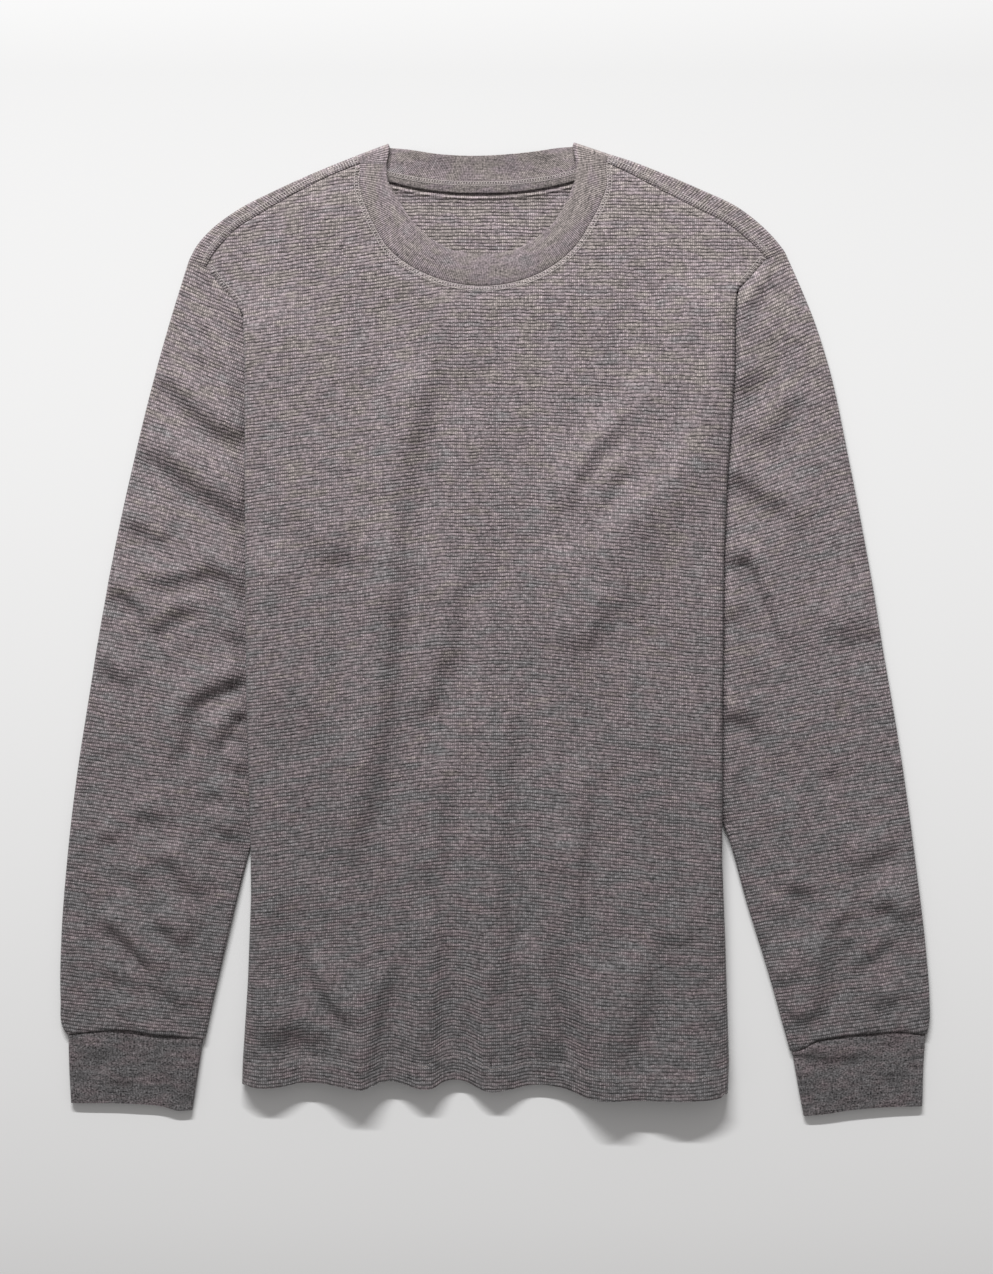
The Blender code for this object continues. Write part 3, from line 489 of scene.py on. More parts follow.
def sleeve_reach(side, y):
    """How far inside the fold line the sleeve reaches; negative where it is clear."""
    below = inward(side, at_height(SLEEVE_INNER[side], y), y)
    return np.where(y > UNDERARM_Y, flap_width(side, y), below)


def presence(side, x, y, reach, ramp):
    """1 over a hidden strip of this reach, then a way down to 0 beside it and above it."""
    beside = np.maximum(0.0, inward(side, x, y) - reach) / ramp[0]
    above = np.maximum(0.0, y - fold_top(side) + ramp[2]) / ramp[1]
    return 1.0 - np.minimum(1.0, np.hypot(beside, above))


def over(reach_of, x, y, margin, ramp):
    """The larger presence of the two sides."""
    both = [presence(side, x, y, reach_of(side, y) + margin, ramp) for side in FOLD]
    return np.maximum(*both)


print("a side is turned under by up to", flap_width("left", UNDERARM_Y), "mm")

# %% [markdown]
# ## Folds that stand up, and soft creases
# Near the hem the front stands up in a few long rounded folds, and the rest of the cloth carries
# soft creases that the hand left. A simulation would put them anywhere, so each is a run of
# points here. A crease in laid cloth isn't even: it has one steep flank, a crest that falls away
# slowly on its left, and a shallow trough on its right. It fades towards both ends. A few narrow
# valleys, where two plies have slid against each other, are plain troughs.

# %% Standing folds
FOLD_EASE = 0.8  # how early on its way a fold's height changes
BODY_FOLDS = [  # foot x, foot y, head x, head y, half width, height at the foot and at the head
    (-165.0, 4.0, -162.0, 148.0, 15.0, 4.0, 1.0),
    (-100.0, 2.0, -114.0, 150.0, 19.0, 13.0, 2.0),
    (-46.0, 2.0, -54.0, 170.0, 15.0, 9.5, 0.5),
    (7.0, 2.0, -8.0, 300.0, 15.0, 8.0, 1.5),
    (94.0, -4.0, 58.0, 190.0, 18.0, 14.0, 2.5),
    (150.0, -4.0, 130.0, 120.0, 34.0, 13.0, 1.5),
    (-104.0, 186.0, -75.0, 379.0, 15.0, 2.0, 3.0),
    (-75.0, 379.0, -52.0, 540.0, 15.0, 3.0, 2.0),
    (69.0, 456.0, 119.0, 537.0, 14.0, 2.0, 2.0),
]


def relief(folds, x, y):
    """The height of the standing folds: a soft ridge along each row of the table."""
    total = np.zeros_like(x)
    for foot_x, foot_y, head_x, head_y, half_width, foot_height, head_height in folds:
        run_x, run_y = head_x - foot_x, head_y - foot_y
        t = ((x - foot_x) * run_x + (y - foot_y) * run_y) / (run_x**2 + run_y**2)
        t = np.clip(t, 0.0, 1.0)
        away = np.hypot(x - foot_x - t * run_x, y - foot_y - t * run_y)
        change = np.sin(0.5 * math.pi * t) ** FOLD_EASE
        height = foot_height + (head_height - foot_height) * change
        total += height * np.exp(-((away / half_width) ** 2))
    return total


# %% Soft creases
CREASE_STEPS = 24
CREASE_FADE = (14.0, 0.28, 0.42)  # at either end: in mm, and its least and largest share
CREST_SPREAD = 2.2  # these are in half widths
TROUGH_SPREAD = 1.5
TROUGH_SHARE = 0.5
CREASE_REACH = 7.0


def beside_run(x, y, points):
    """The signed distance to a smooth run, positive to its left, and its strength there."""
    run = sampled(points, CREASE_STEPS)
    start, step = run[:-1], np.diff(run, axis=0)
    away_x, away_y = x[:, None] - start[:, 0], y[:, None] - start[:, 1]
    squares = (step**2).sum(axis=1)
    along = np.clip((away_x * step[:, 0] + away_y * step[:, 1]) / squares, 0.0, 1.0)
    gap = np.hypot(away_x - along * step[:, 0], away_y - along * step[:, 1])
    nearest = np.argmin(gap, axis=1)
    rows = np.arange(len(x))
    turn = step[nearest, 0] * away_y[rows, nearest] - step[nearest, 1] * away_x[rows, nearest]
    share = (nearest + along[rows, nearest]) / CREASE_STEPS
    length = lengths(run)[-1]
    least, share_least, share_most = CREASE_FADE
    fade = min(max(least / length, share_least), share_most)
    strength = smoothstep(0.0, fade, share) * smoothstep(0.0, fade, 1.0 - share)
    return gap[rows, nearest] * np.where(turn < 0, -1.0, 1.0), strength


def crease_profile(d):
    """A steep flank at 0, a crest at 1 that fades slowly, and a shallower trough at -1."""
    rise = 0.5 * (1.0 - TROUGH_SHARE) + 0.5 * (1.0 + TROUGH_SHARE) * np.sin(0.5 * math.pi * d)
    crest = np.exp(-(((d - 1.0) / CREST_SPREAD) ** 2))
    trough = -TROUGH_SHARE * np.exp(-(((d + 1.0) / TROUGH_SPREAD) ** 2))
    return np.where(d > 1.0, crest, np.where(d < -1.0, trough, rise))


def hollow_profile(d):
    return -np.exp(-(d**2))


def creased(rows, profile, x, y):
    """The height that the rows of a crease table add."""
    total = np.zeros_like(x)
    for half_width, height, points in rows:
        low, high = np.min(points, axis=0), np.max(points, axis=0)
        reach = CREASE_REACH * half_width
        close = (x > low[0] - reach) & (x < high[0] + reach)
        close &= (y > low[1] - reach) & (y < high[1] + reach)
        if close.any():
            away, strength = beside_run(x[close], y[close], points)
            total[close] += height * strength * profile(away / half_width)
    return total


# %% Small unevenness
RIPPLES = 14
RIPPLE_LENGTHS = (34.0, 95.0)
RIPPLE_HEIGHT = 0.07
RIPPLE_SEED = 31
ripple_seed = np.random.default_rng(RIPPLE_SEED)
ripple_ways = ripple_seed.uniform(0.0, math.pi, RIPPLES)
ripple_lengths = ripple_seed.uniform(*RIPPLE_LENGTHS, RIPPLES)
ripple_shifts = ripple_seed.uniform(0.0, 2 * math.pi, RIPPLES)


def ripples(x, y):
    """No cloth lies quite flat: a few faint waves that cross each other at odd angles."""
    total = np.zeros_like(x)
    for way, length, shift in zip(ripple_ways, ripple_lengths, ripple_shifts):
        along = x * math.cos(way) + y * math.sin(way)
        total += np.sin(2 * math.pi * along / length + shift) * length
    return total * RIPPLE_HEIGHT / RIPPLE_LENGTHS[0]


print("ripples:", RIPPLES, "of", *RIPPLE_LENGTHS, "mm")

# %% Heights of the layers
LOFT = 1.2  # the air between the front and the back
NECK_LOFT = 1.35  # more of it round the neckband, which is thicker
NECK_CENTRE = (-1.0, 690.0)
NECK_REACH = (200.0, 160.0)
NECK_LOFT_EDGE = 0.5  # the share of that reach from which it fades
RAMP_FRONT = (80.0, 50.0, 18.0)  # inwards, upwards, and how far below the fold's top it begins
RAMP_BACK = (26.0, 18.0, 0.0)
FLAP_MARGIN = 12.0  # a panel stays high this far past the edge of what lies under it
BACK_MARGIN = 22.0
BACK_FLAP_MARGIN = 3.0


def neck_loft(x, y):
    away = np.hypot((x - NECK_CENTRE[0]) / NECK_REACH[0], (y - NECK_CENTRE[1]) / NECK_REACH[1])
    return NECK_LOFT * (1.0 - smoothstep(NECK_LOFT_EDGE, 1.0, away))


def shoulder_height(x, y):
    """The front layer where nothing is tucked under it."""
    return FLOOR_PLY + PLY + LOFT + neck_loft(x, y)


def front_height(x, y):
    sleeves = smoothstep(0.0, 1.0, over(sleeve_reach, x, y, FLAP_MARGIN, RAMP_FRONT))
    flaps = smoothstep(0.0, 1.0, over(flap_width, x, y, 0.0, RAMP_FRONT))
    return shoulder_height(x, y) + 2 * PLY * (sleeves + flaps) + relief(BODY_FOLDS, x, y)


def back_height(x, y):
    sleeves = over(sleeve_reach, x, y, BACK_MARGIN, RAMP_BACK)
    flaps = over(flap_width, x, y, BACK_FLAP_MARGIN, RAMP_BACK)
    return FLOOR_PLY + 2 * PLY * (sleeves + flaps)


def front_flap_height(x, y):
    return FLOOR_PLY + 2 * PLY * over(sleeve_reach, x, y, FLAP_MARGIN, RAMP_BACK)


def back_flap_height(x, y):
    return front_flap_height(x, y) + PLY


def near_fold_top(side, y, ramp):
    """0 well above the top of the fold, 1 from there down."""
    return 1.0 - smoothstep(0.0, ramp, y - fold_top(side))


def one(function, plan):
    """A height function at a single plan point."""
    return float(function(np.array([plan[0]]), np.array([plan[1]]))[0])


MIDDLE = (0.0, 300.0)
print("front lies", round(one(front_height, MIDDLE), 2), "mm up in the middle")

# %% [markdown]
# ## From runs of points to a sheet
# A piece is gathered from grids, for its rolls and tubes, and from triangles, for the broad
# middle of a panel. Points that coincide are welded, and every corner keeps its place in the
# knit: how far across and how far along the cloth it lies, in metres. The knit is drawn from
# those, so it follows the cloth round each fold. A Solidify modifier then gives the sheet its
# real thickness, and a Bevel rounds the raw rims.

# %% Gathering and welding
WELD_DIGITS = 3
RIM_ANGLE = math.radians(55)
RIM = 0.5  # how far the waffle's raw rims are rounded


def made_piece(name, points, faces, finish, knit=None):
    """A smooth object from points in mm, with its places in the knit and all faces outwards."""
    mesh = bpy.data.meshes.new(name)
    mesh.from_pydata((points + TO_FRAME) * MM, [], faces)
    if knit is not None:
        layer = mesh.uv_layers.new(name="cloth")
        layer.data.foreach_set("uv", (knit * MM).astype(np.float32).ravel())
    turned = bmesh.new()
    turned.from_mesh(mesh)
    bmesh.ops.recalc_face_normals(turned, faces=turned.faces)
    turned.to_mesh(mesh)
    turned.free()
    mesh.shade_smooth()
    mesh.materials.append(finish)
    piece = bpy.data.objects.new(name, mesh)
    scene.collection.objects.link(piece)
    return piece


class Sheet:
    """Points, their places in the knit, and the faces between them, before welding."""

    def __init__(self):
        self.points, self.knit, self.faces, self.count = [], [], [], 0

    def add(self, points, knit, faces):
        self.points.append(points)
        self.knit.append(knit)
        self.faces += [[self.count + k for k in face] for face in faces]
        self.count += len(points)

    def grid(self, points, knit):
        """Adds four-sided faces between rows of points."""
        rows, columns = points.shape[:2]
        faces = []
        for i in range(rows - 1):
            for k in range(columns - 1):
                a = i * columns + k
                faces.append((a, a + columns, a + columns + 1, a + 1))
        self.add(points.reshape(-1, 3), knit.reshape(-1, 2), faces)

    def piece(self, name, wall, finish, rim):
        """The welded piece, with its thickness and its rounded rims."""
        points, knit = np.concatenate(self.points), np.concatenate(self.knit)
        _, first, welded = np.unique(
            np.round(points, WELD_DIGITS), axis=0, return_index=True, return_inverse=True
        )
        welded = welded.reshape(-1)
        faces, corners = [], []
        for face in self.faces:
            kept = {}
            for corner in face:
                kept.setdefault(int(welded[corner]), corner)
            if len(kept) > 2:
                faces.append(list(kept))
                corners += kept.values()
        piece = made_piece(name, points[first], faces, finish, knit[corners])
        thickness = piece.modifiers.new("thickness", "SOLIDIFY")
        thickness.thickness = wall * MM
        thickness.offset = 0.0
        thickness.use_quality_normals = True
        rounding = piece.modifiers.new("rounded rim", "BEVEL")
        rounding.width = rim * MM
        rounding.segments = 2
        rounding.limit_method = "ANGLE"
        rounding.angle_limit = RIM_ANGLE
        print(name, len(first), "points before its thickness")
        return piece


# %% Filling a panel
LATTICE_ROW = 0.87
LATTICE_CLEARANCE = 0.55
CDT_EPSILON = 1e-4


def filled(outline, lines, spacing, height):
    """Points and triangles across a closed outline, with plan lines and a lattice inside it.

    The outline's own points keep their heights; the others take theirs from height(x, y).
    """
    ring = outline[:, :2]
    closed = np.concatenate([ring, ring[:1]])
    plan, edges = [tuple(point) for point in ring], []
    runs = [closed]
    for line, clear in lines:
        line = line[enclosed(line, ring)]
        line = line[clearance(line, [closed]) > clear]
        if len(line) < 2:
            continue
        first = len(plan)
        plan += [tuple(point) for point in line]
        gaps = np.linalg.norm(np.diff(line, axis=0), axis=1)
        edges += [(first + k, first + k + 1) for k in np.nonzero(gaps < 2 * spacing)[0].tolist()]
        runs.append(line)
    low, high = ring.min(axis=0), ring.max(axis=0)
    lattice = []
    for i, y in enumerate(np.arange(low[1], high[1], spacing * LATTICE_ROW)):
        shift = spacing / 2 if i % 2 else 0.0
        lattice += [(x, y) for x in np.arange(low[0] + shift, high[0], spacing)]
    lattice = np.array(lattice)
    lattice = lattice[enclosed(lattice, ring)]
    lattice = lattice[clearance(lattice, runs) > spacing * LATTICE_CLEARANCE]
    plan += [tuple(point) for point in lattice]
    made = delaunay_2d_cdt(
        [Vector(point) for point in plan], edges, [list(range(len(ring)))], 1, CDT_EPSILON
    )
    places = np.array([tuple(place) for place in made[0]])
    points = np.column_stack([places, height(places[:, 0], places[:, 1])])
    for k, sources in enumerate(made[3]):
        known = [source for source in sources if source < len(ring)]
        if known:
            points[k] = outline[known[0]]
    return points, [list(face) for face in made[2]]


print("sheets ready")

# %% [markdown]
# ## The turned-under sides
# Each side is a grid with one row across the fold for every few millimetres of its length: the
# flap below, the roll, and the point where the panel's broad top begins. Above the fold's top
# the same rows open out and flatten, until they lie along the shoulder seam.

# %% Rows across a side
ROLL_STEPS = 7
FLAP_COLUMNS = 10
ARMHOLE_ROWS = 14
FOLD_ROWS = (8, 42, 102)  # while the flap opens, down to the underarm, down to the hem
OPEN_LENGTH = 25.0  # below the fold's top, where the flap opens from nothing


def side_rows(side, armhole, ramp):
    """Per row: edge point, direction inwards, closing and opening."""
    inwards = unit(offset_run(armhole, -SIGN[side]) - armhole)
    across = np.array([SIGN[side], 0.0])
    top, hem = fold_top(side), FOLD[side][-1][1]
    rows = [
        (point, normal, float(near_fold_top(side, point[1], ramp)), 0.0)
        for point, normal in zip(armhole[:-1], inwards)
    ]
    rows.append((armhole[-1], across, 1.0, 0.0))
    stops = [top, top - OPEN_LENGTH, UNDERARM_Y, hem]
    for count, start, end in zip(FOLD_ROWS, stops, stops[1:]):
        for k in range(1, count + 1):
            y = start + (end - start) * k / count
            opening = min(1.0, (top - y) / OPEN_LENGTH)
            rows.append((np.array([fold_x(side, y), y]), across, 1.0, opening))
    return rows


def roll(side, row, start, width, heights, flap_height, way=None):
    """Points of a turned-under side, from the flap's end up to where the top begins."""
    edge, towards, _, opening = row
    top_z, edge_z, flap_z = heights
    if way is None:

        def way(distance):
            return edge + towards * distance

    def on_roll(angle):
        rise = top_z - edge_z if angle > 0 else edge_z - flap_z
        plan = way(start + width * (1.0 - math.cos(angle)))
        return (*plan, edge_z + rise * math.sin(angle))

    quarter = 0.5 * math.pi / ROLL_STEPS
    upper = [on_roll(quarter * k) for k in range(ROLL_STEPS + 1)]
    lower = [on_roll(-quarter * opening * k) for k in range(ROLL_STEPS, 0, -1)]
    flap = [lower[0]] * FLAP_COLUMNS
    flap_start = start + width
    flap_end = float(flap_width(side, edge[1])) - SEAM_INSET
    if opening == 1.0 and flap_end > flap_start:
        for k in range(FLAP_COLUMNS):
            plan = way(flap_end + (flap_start - flap_end) * k / FLAP_COLUMNS)
            flap[k] = (*plan, one(flap_height, plan))
    return flap + lower + upper


def knit_of_side(side, grid):
    """Places in the knit: the top's own x and y, then measured round the roll."""
    steps = np.linalg.norm(np.diff(grid, axis=1), axis=2)
    beyond = np.concatenate(
        [np.cumsum(steps[:, ::-1], axis=1)[:, ::-1], np.zeros((len(grid), 1))], axis=1
    )
    return np.stack([grid[:, -1:, 0] - SIGN[side] * beyond, grid[:, :, 1]], axis=2)


print("rows down a side:", ARMHOLE_ROWS + 1 + sum(FOLD_ROWS))

# %% [markdown]
# ## Front panel
# The largest cut piece: one ply of waffle knit from the shoulder seams to the hem. Its outline
# is the shoulder seams, the neck seam, two short stretches of armhole and the turned-under
# sides. The inside is filled with triangles of even size, with extra lines beside every seam,
# where stitching pulls the cloth down. The hem is turned up and doubled, so it stands a little
# higher as far as its stitching.

# %% Seam dips and the doubled hem
SHOULDER_COLUMNS = 36
NECK_COLUMNS = 100
HEM_COLUMNS = 110
SEAM_DIP = (0.75, 1.3)  # depth and width of the groove at a seam
SEAM_PUFF = 0.45  # the doubled cloth beside a seam stands up as far as its second stitching
SEAM_PUFF_SPAN = (0.3, 0.9, 4.7, 5.7)
SEAM_BETWEEN = (0.45, 2.6, 1.0)  # it sinks between the two rails: depth, distance and width
HEM_DEPTH = 17.5
HEM_RISE = 1.0
HEM_STEP = (HEM_DEPTH - 1.5, HEM_DEPTH + 1.0)


def seam_pull(distance):
    """How far stitching pulls the cloth down, and the puff beside it."""
    inner, inner_top, outer_top, outer = SEAM_PUFF_SPAN
    puff = smoothstep(inner, inner_top, distance) - smoothstep(outer_top, outer, distance)
    dip = SEAM_DIP[0] * np.exp(-((distance / SEAM_DIP[1]) ** 2))
    depth, middle, width = SEAM_BETWEEN
    return SEAM_PUFF * puff - dip - depth * np.exp(-(((distance - middle) / width) ** 2))


def hem_step(distance):
    return HEM_RISE * (1.0 - smoothstep(*HEM_STEP, distance))


neck_front = sampled(NECK_FRONT_SEAM, NECK_COLUMNS)
shoulder_seams = {side: sampled(SHOULDER_SEAM[side], SHOULDER_COLUMNS) for side in FOLD}
armholes = {side: sampled(ARMHOLE[side], ARMHOLE_ROWS) for side in FOLD}
hem_line = sampled(HEM, HEM_COLUMNS)
front_seams = [neck_front, *shoulder_seams.values(), *armholes.values()]
print("neck seam on the front:", round(lengths(neck_front)[-1]), "mm")

# %% Creases on the body
BODY_CREASES = [  # half width, height, then the line of the steep flank; its crest is to the left
    (10.0, 5.2, [(-101, 168), (-98, 180), (-92, 205), (-87, 225), (-83, 240), (-80, 262),
        (-76, 290), (-73, 310), (-70, 335), (-68, 360)]),
    (8.0, 4.0, [(-72, 315), (-68, 370), (-68, 400), (-66, 430), (-62, 445), (-60, 465)]),
    (11.0, 5.8, [(-64, 435), (-60, 460), (-58, 480), (-56, 497), (-50, 510), (-46, 525), (-43, 540),
        (-41, 555), (-38, 575)]),
    (9.5, 4.8, [(-50, 272), (-47, 284), (-42, 298), (-36, 312), (-32, 325), (-25, 340), (-24, 355),
        (-19, 383), (-14, 420)]),
    (6.5, 1.2, [(-50, 280), (-45, 289), (-41, 298), (-35, 306), (-29, 310)]),
    (8.0, 3.4, [(13, 120), (14, 160), (16, 200), (19, 248), (24, 290), (26, 330)]),
    (8.0, 3.4, [(72, 150), (76, 190), (80, 225), (84, 262)]),
    (7.0, 2.8, [(-36, 150), (-34, 190), (-30, 230), (-26, 268)]),
    (9.0, 2.6, [(-130, 403), (-123, 406), (-117, 409), (-108, 411), (-100, 406), (-96, 400)]),
    (4.0, 0.8, [(-108, 429), (-98, 433), (-89, 430)]),
    (5.0, 0.8, [(-124, 480), (-110, 479), (-93, 474)]),
    (12.0, 1.8, [(-180, 446), (-160, 439), (-140, 430), (-122, 420), (-106, 410)]),
    (6.0, 1.8, [(-117, 330), (-119, 365), (-122, 398)]),
    (6.5, 4.0, [(57, 438), (68, 458), (72, 470), (80, 482), (88, 492), (98, 505), (103, 515),
        (109, 534)]),
    (6.5, 2.8, [(85, 438), (93, 455), (98, 468), (105, 476), (115, 488)]),
    (5.0, 1.1, [(45, 414), (52, 452)]),
    (10.0, 3.8, [(67, 332), (76, 345), (85, 352), (92, 362), (97, 375), (106, 386)]),
    (11.0, 3.2, [(181, 612), (173, 567), (160, 520), (139, 479), (100, 440), (75, 392)]),
    (6.0, 1.4, [(-165, 95), (-168, 120), (-168, 145)]),
    (5.5, 5.6, [(-140, 110), (-133, 91), (-125, 75), (-112, 60), (-96, 46)]),
    (10.0, 4.4, [(-174, 33), (-160, 43), (-146, 46), (-134, 41), (-120, 32)]),
    (7.0, 5.2, [(-89, 4), (-85, 22), (-83, 38), (-82, 50), (-78, 70), (-75, 88), (-71, 106)]),
    (6.0, 3.0, [(-38, 12), (-37, 50), (-36, 80), (-35, 115), (-37, 155)]),
    (5.0, 1.4, [(-43, 19), (-33, 24), (-23, 20)]),
    (5.0, 1.2, [(-107, 132), (-111, 158)]),
    (5.0, 0.7, [(-99, 100), (-90, 102), (-82, 98)]),
    (6.0, 3.2, [(14, 70), (17, 110), (18, 130), (13, 170)]),
    (7.0, 5.8, [(64, 16), (60, 36), (54, 68), (48, 98), (43, 128)]),
    (11.0, 5.2, [(100, 14), (105, 25), (113, 38), (119, 50), (124, 65), (127, 95), (126, 122)]),
    (9.0, 2.0, [(128, 120), (142, 119), (154, 108)]),
    (6.0, 2.8, [(75, 125), (76, 165), (74, 205)]),
    (5.0, 0.8, [(158, 52), (172, 53), (182, 47)]),
    (5.0, 1.2, [(160, 229), (170, 222), (181, 213)]),
    (4.0, 0.8, [(68, 688), (80, 668), (91, 648)]),
    (5.0, 0.8, [(-77, 640), (-58, 596)]),
    (30.0, 4.0, [(-118, 250), (-130, 330), (-138, 390), (-142, 455)]),
    (26.0, 3.0, [(84, 290), (108, 370), (134, 435), (160, 500)]),
]
BODY_HOLLOWS = [  # half width, depth, then the bottom line of a valley
    (3.5, 3.0, [(-146, 120), (-140, 105), (-132, 90), (-124, 76), (-112, 60), (-100, 48)]),
    (3.5, 3.6, [(68, 14), (64, 32), (60, 52), (55, 74), (51, 94), (47, 116)]),
]
print("creases on the body:", len(BODY_CREASES))

# %% Heights and rows of the front
FRONT_AIR = 1.2
CREASE_START = (1.0, 16.0)  # beside a fold or a seam, where the cloth is held
TILT_LEFT, TILT_RIGHT = 0.13, 0.09  # how steeply the knit's rows fall towards the sides
TILT_START = 35.0
TILT_LEVEL_ABOVE = (420.0, 600.0)  # the rows on the right are level from there up
TILT_ABOVE_HEM = (10.0, 170.0)  # and near the hem they follow it
HEM_MEAN = 3.5


def front_smooth(x, y):
    """The front's height with its hem and its creases, but without the pull of its seams."""
    inside = np.minimum(inward("left", x, y), inward("right", x, y))
    loose = smoothstep(*CREASE_START, inside) * smoothstep(
        *CREASE_START, clearance(np.column_stack([x, y]), front_seams)
    )
    soft = FRONT_AIR + creased(BODY_CREASES, crease_profile, x, y) + ripples(x, y)
    soft += creased(BODY_HOLLOWS, hollow_profile, x, y)
    hem = hem_step(clearance(np.column_stack([x, y]), [hem_line]))
    return front_height(x, y) + hem + loose * soft


def front_top(x, y):
    return front_smooth(x, y) + seam_pull(clearance(np.column_stack([x, y]), front_seams))


def row_rise(x, y):
    """How far the knit's rows have been pulled out of level, in the way this one was laid."""
    low = 1.0 - smoothstep(*TILT_LEVEL_ABOVE, y)
    left = -TILT_LEFT * np.maximum(0.0, -TILT_START - x)
    right = -TILT_RIGHT * np.maximum(0.0, x - TILT_START) * low
    hem_y = np.interp(x, [point[0] for point in HEM], [point[1] for point in HEM]) - HEM_MEAN
    from_hem = smoothstep(*TILT_ABOVE_HEM, y)
    return (left + right) * from_hem + hem_y * (1.0 - from_hem)


print("front lies", round(one(front_smooth, MIDDLE), 2), "mm up with its creases")

# %% Front panel
FRONT_SPACING = 3.3
CORNER_COLUMN = 6  # the shoulder seam's last sixth belongs to the side's grid
SEAM_LINES = (0.5, 1.2, 2.6, 3.8, 4.6, 5.4, 6.6)  # extra points at these distances from a seam
HEM_LINES = (1.5, 5.0, 10.0, 15.5, 17.0, 18.5, 21.0)
LINE_CLEARANCE = 0.8  # of that distance, which such a line keeps from the whole outline
RAMP_EDGE = 22.0  # above the fold's top, where the roll opens out
ROLL_WIDTH = 3.2
ROLL_LIFT = 1.2
EDGE_SETBACK = 0.3
WEDGE_NARROWING, WEDGE_RUN = 0.2, 12.0  # the side's grid narrows below the shoulder seam


def front_side(side, run):
    """The grid of one side, from a run that starts at the fold's top and passes the armhole."""
    armhole = run[: ARMHOLE_ROWS + 1][::-1]
    seam = run[ARMHOLE_ROWS:]
    seam_at, down = lengths(seam), lengths(armhole)
    corner_at = seam_at[CORNER_COLUMN]

    def along_seam(distance):
        return np.array([np.interp(distance, seam_at, seam[:, axis]) for axis in (0, 1)])

    grid = []
    for i, row in enumerate(side_rows(side, armhole, RAMP_EDGE)):
        edge, towards, closing, _ = row
        start = max(closing * WALL / 2, EDGE_SETBACK if i else 0.0)
        narrowed = 1.0 - WEDGE_NARROWING * smoothstep(0.0, WEDGE_RUN, down[min(i, ARMHOLE_ROWS)])
        width = ROLL_WIDTH + (corner_at - ROLL_WIDTH) * (1.0 - closing) * narrowed
        inner = edge + towards * (start + width) if i else seam[CORNER_COLUMN]
        flap_z = one(front_flap_height, edge + towards * start)
        edge_z = one(shoulder_height, edge) * (1.0 - closing) + closing * (flap_z + ROLL_LIFT)
        heights = (one(front_smooth, inner), edge_z, flap_z)
        points = np.array(
            roll(side, row, start, width, heights, front_flap_height, None if i else along_seam)
        )
        points[:, 2] += (1.0 - closing) * seam_pull(clearance(points[:, :2], front_seams))
        grid.append(points)
    return np.array(grid)


def front_panel(finish):
    run = offset_run(
        np.concatenate([
            armholes["left"][:0:-1], shoulder_seams["left"][::-1], neck_front[1:-1],
            shoulder_seams["right"], armholes["right"][1:],
        ]),
        SEAM_INSET,
    )
    half_run = ARMHOLE_ROWS + SHOULDER_COLUMNS + 1
    grids = {"left": front_side("left", run[:half_run])}
    grids["right"] = front_side("right", run[::-1][:half_run])
    sheet = Sheet()
    for side, grid in grids.items():
        sheet.grid(grid, knit_of_side(side, grid))
    cut = ARMHOLE_ROWS + CORNER_COLUMN + 1
    plan_runs = [run[cut:-cut], hem_line[::-1][2:-2]]
    top, hem = (np.column_stack([plan, front_top(*plan.T)]) for plan in plan_runs)
    outline = np.concatenate([grids["left"][::-1, -1], top, grids["right"][:, -1], hem])
    lines = [(offset_run(run, at), LINE_CLEARANCE * at) for at in SEAM_LINES]
    lines += [(offset_run(hem_line, -at), LINE_CLEARANCE * at) for at in HEM_LINES]
    points, faces = filled(outline, lines, FRONT_SPACING, front_top)
    sheet.add(points, points[:, :2].copy(), faces)
    for knit in sheet.knit:
        knit[:, 1] -= row_rise(*knit.T)
    return sheet.piece("front_cloth", WALL, finish, RIM)


# %% [markdown]
# ## Back panel
# The back is cut longer at the shoulders, so it comes over to the front and meets it at a seam
# that lies a finger's width down. Inside the neck opening its other face shows, and below the
# tape the neck seam's turned-in edge stands out as a low ridge. The back is made in the same way
# as the front, with a rounded strip over each shoulder, whose knit runs square to the seam.

# %% Back panel
BACK_SPACING = 6.0
BACK_NECK_COLUMNS = 60
STRIP_ROWS = 9
CORNER_ROWS = 3
STRIP_STAND = 0.6  # at the shoulder seam, over the edges that are turned in there
STRIP_GATHER = 1.25  # rows of the knit to each one that the front has, along the shoulder
ALLOWANCE = (3.8, 1.3, 0.8)  # below the tape: distance, height and half width of the ridge
ALLOWANCE_LINES = (1.0, 2.2, 3.0, 3.8, 4.6, 5.6)
ALLOWANCE_CLEARANCE = 0.5
RAMP_EDGE_BACK = 45.0
BACK_SETBACK = WALL / 2 + PLY + 0.25  # its fold lies inside the front's
BACK_HEM_RISE = 9.0  # how far the back ends above the front's hem
tape_edge = sampled(TAPE_BOTTOM, BACK_NECK_COLUMNS)
allowance_line = offset_run(tape_edge, ALLOWANCE[0])


def back_top(x, y):
    away = clearance(np.column_stack([x, y]), [allowance_line])
    return back_height(x, y) + ALLOWANCE[1] * np.exp(-((away / ALLOWANCE[2]) ** 2))


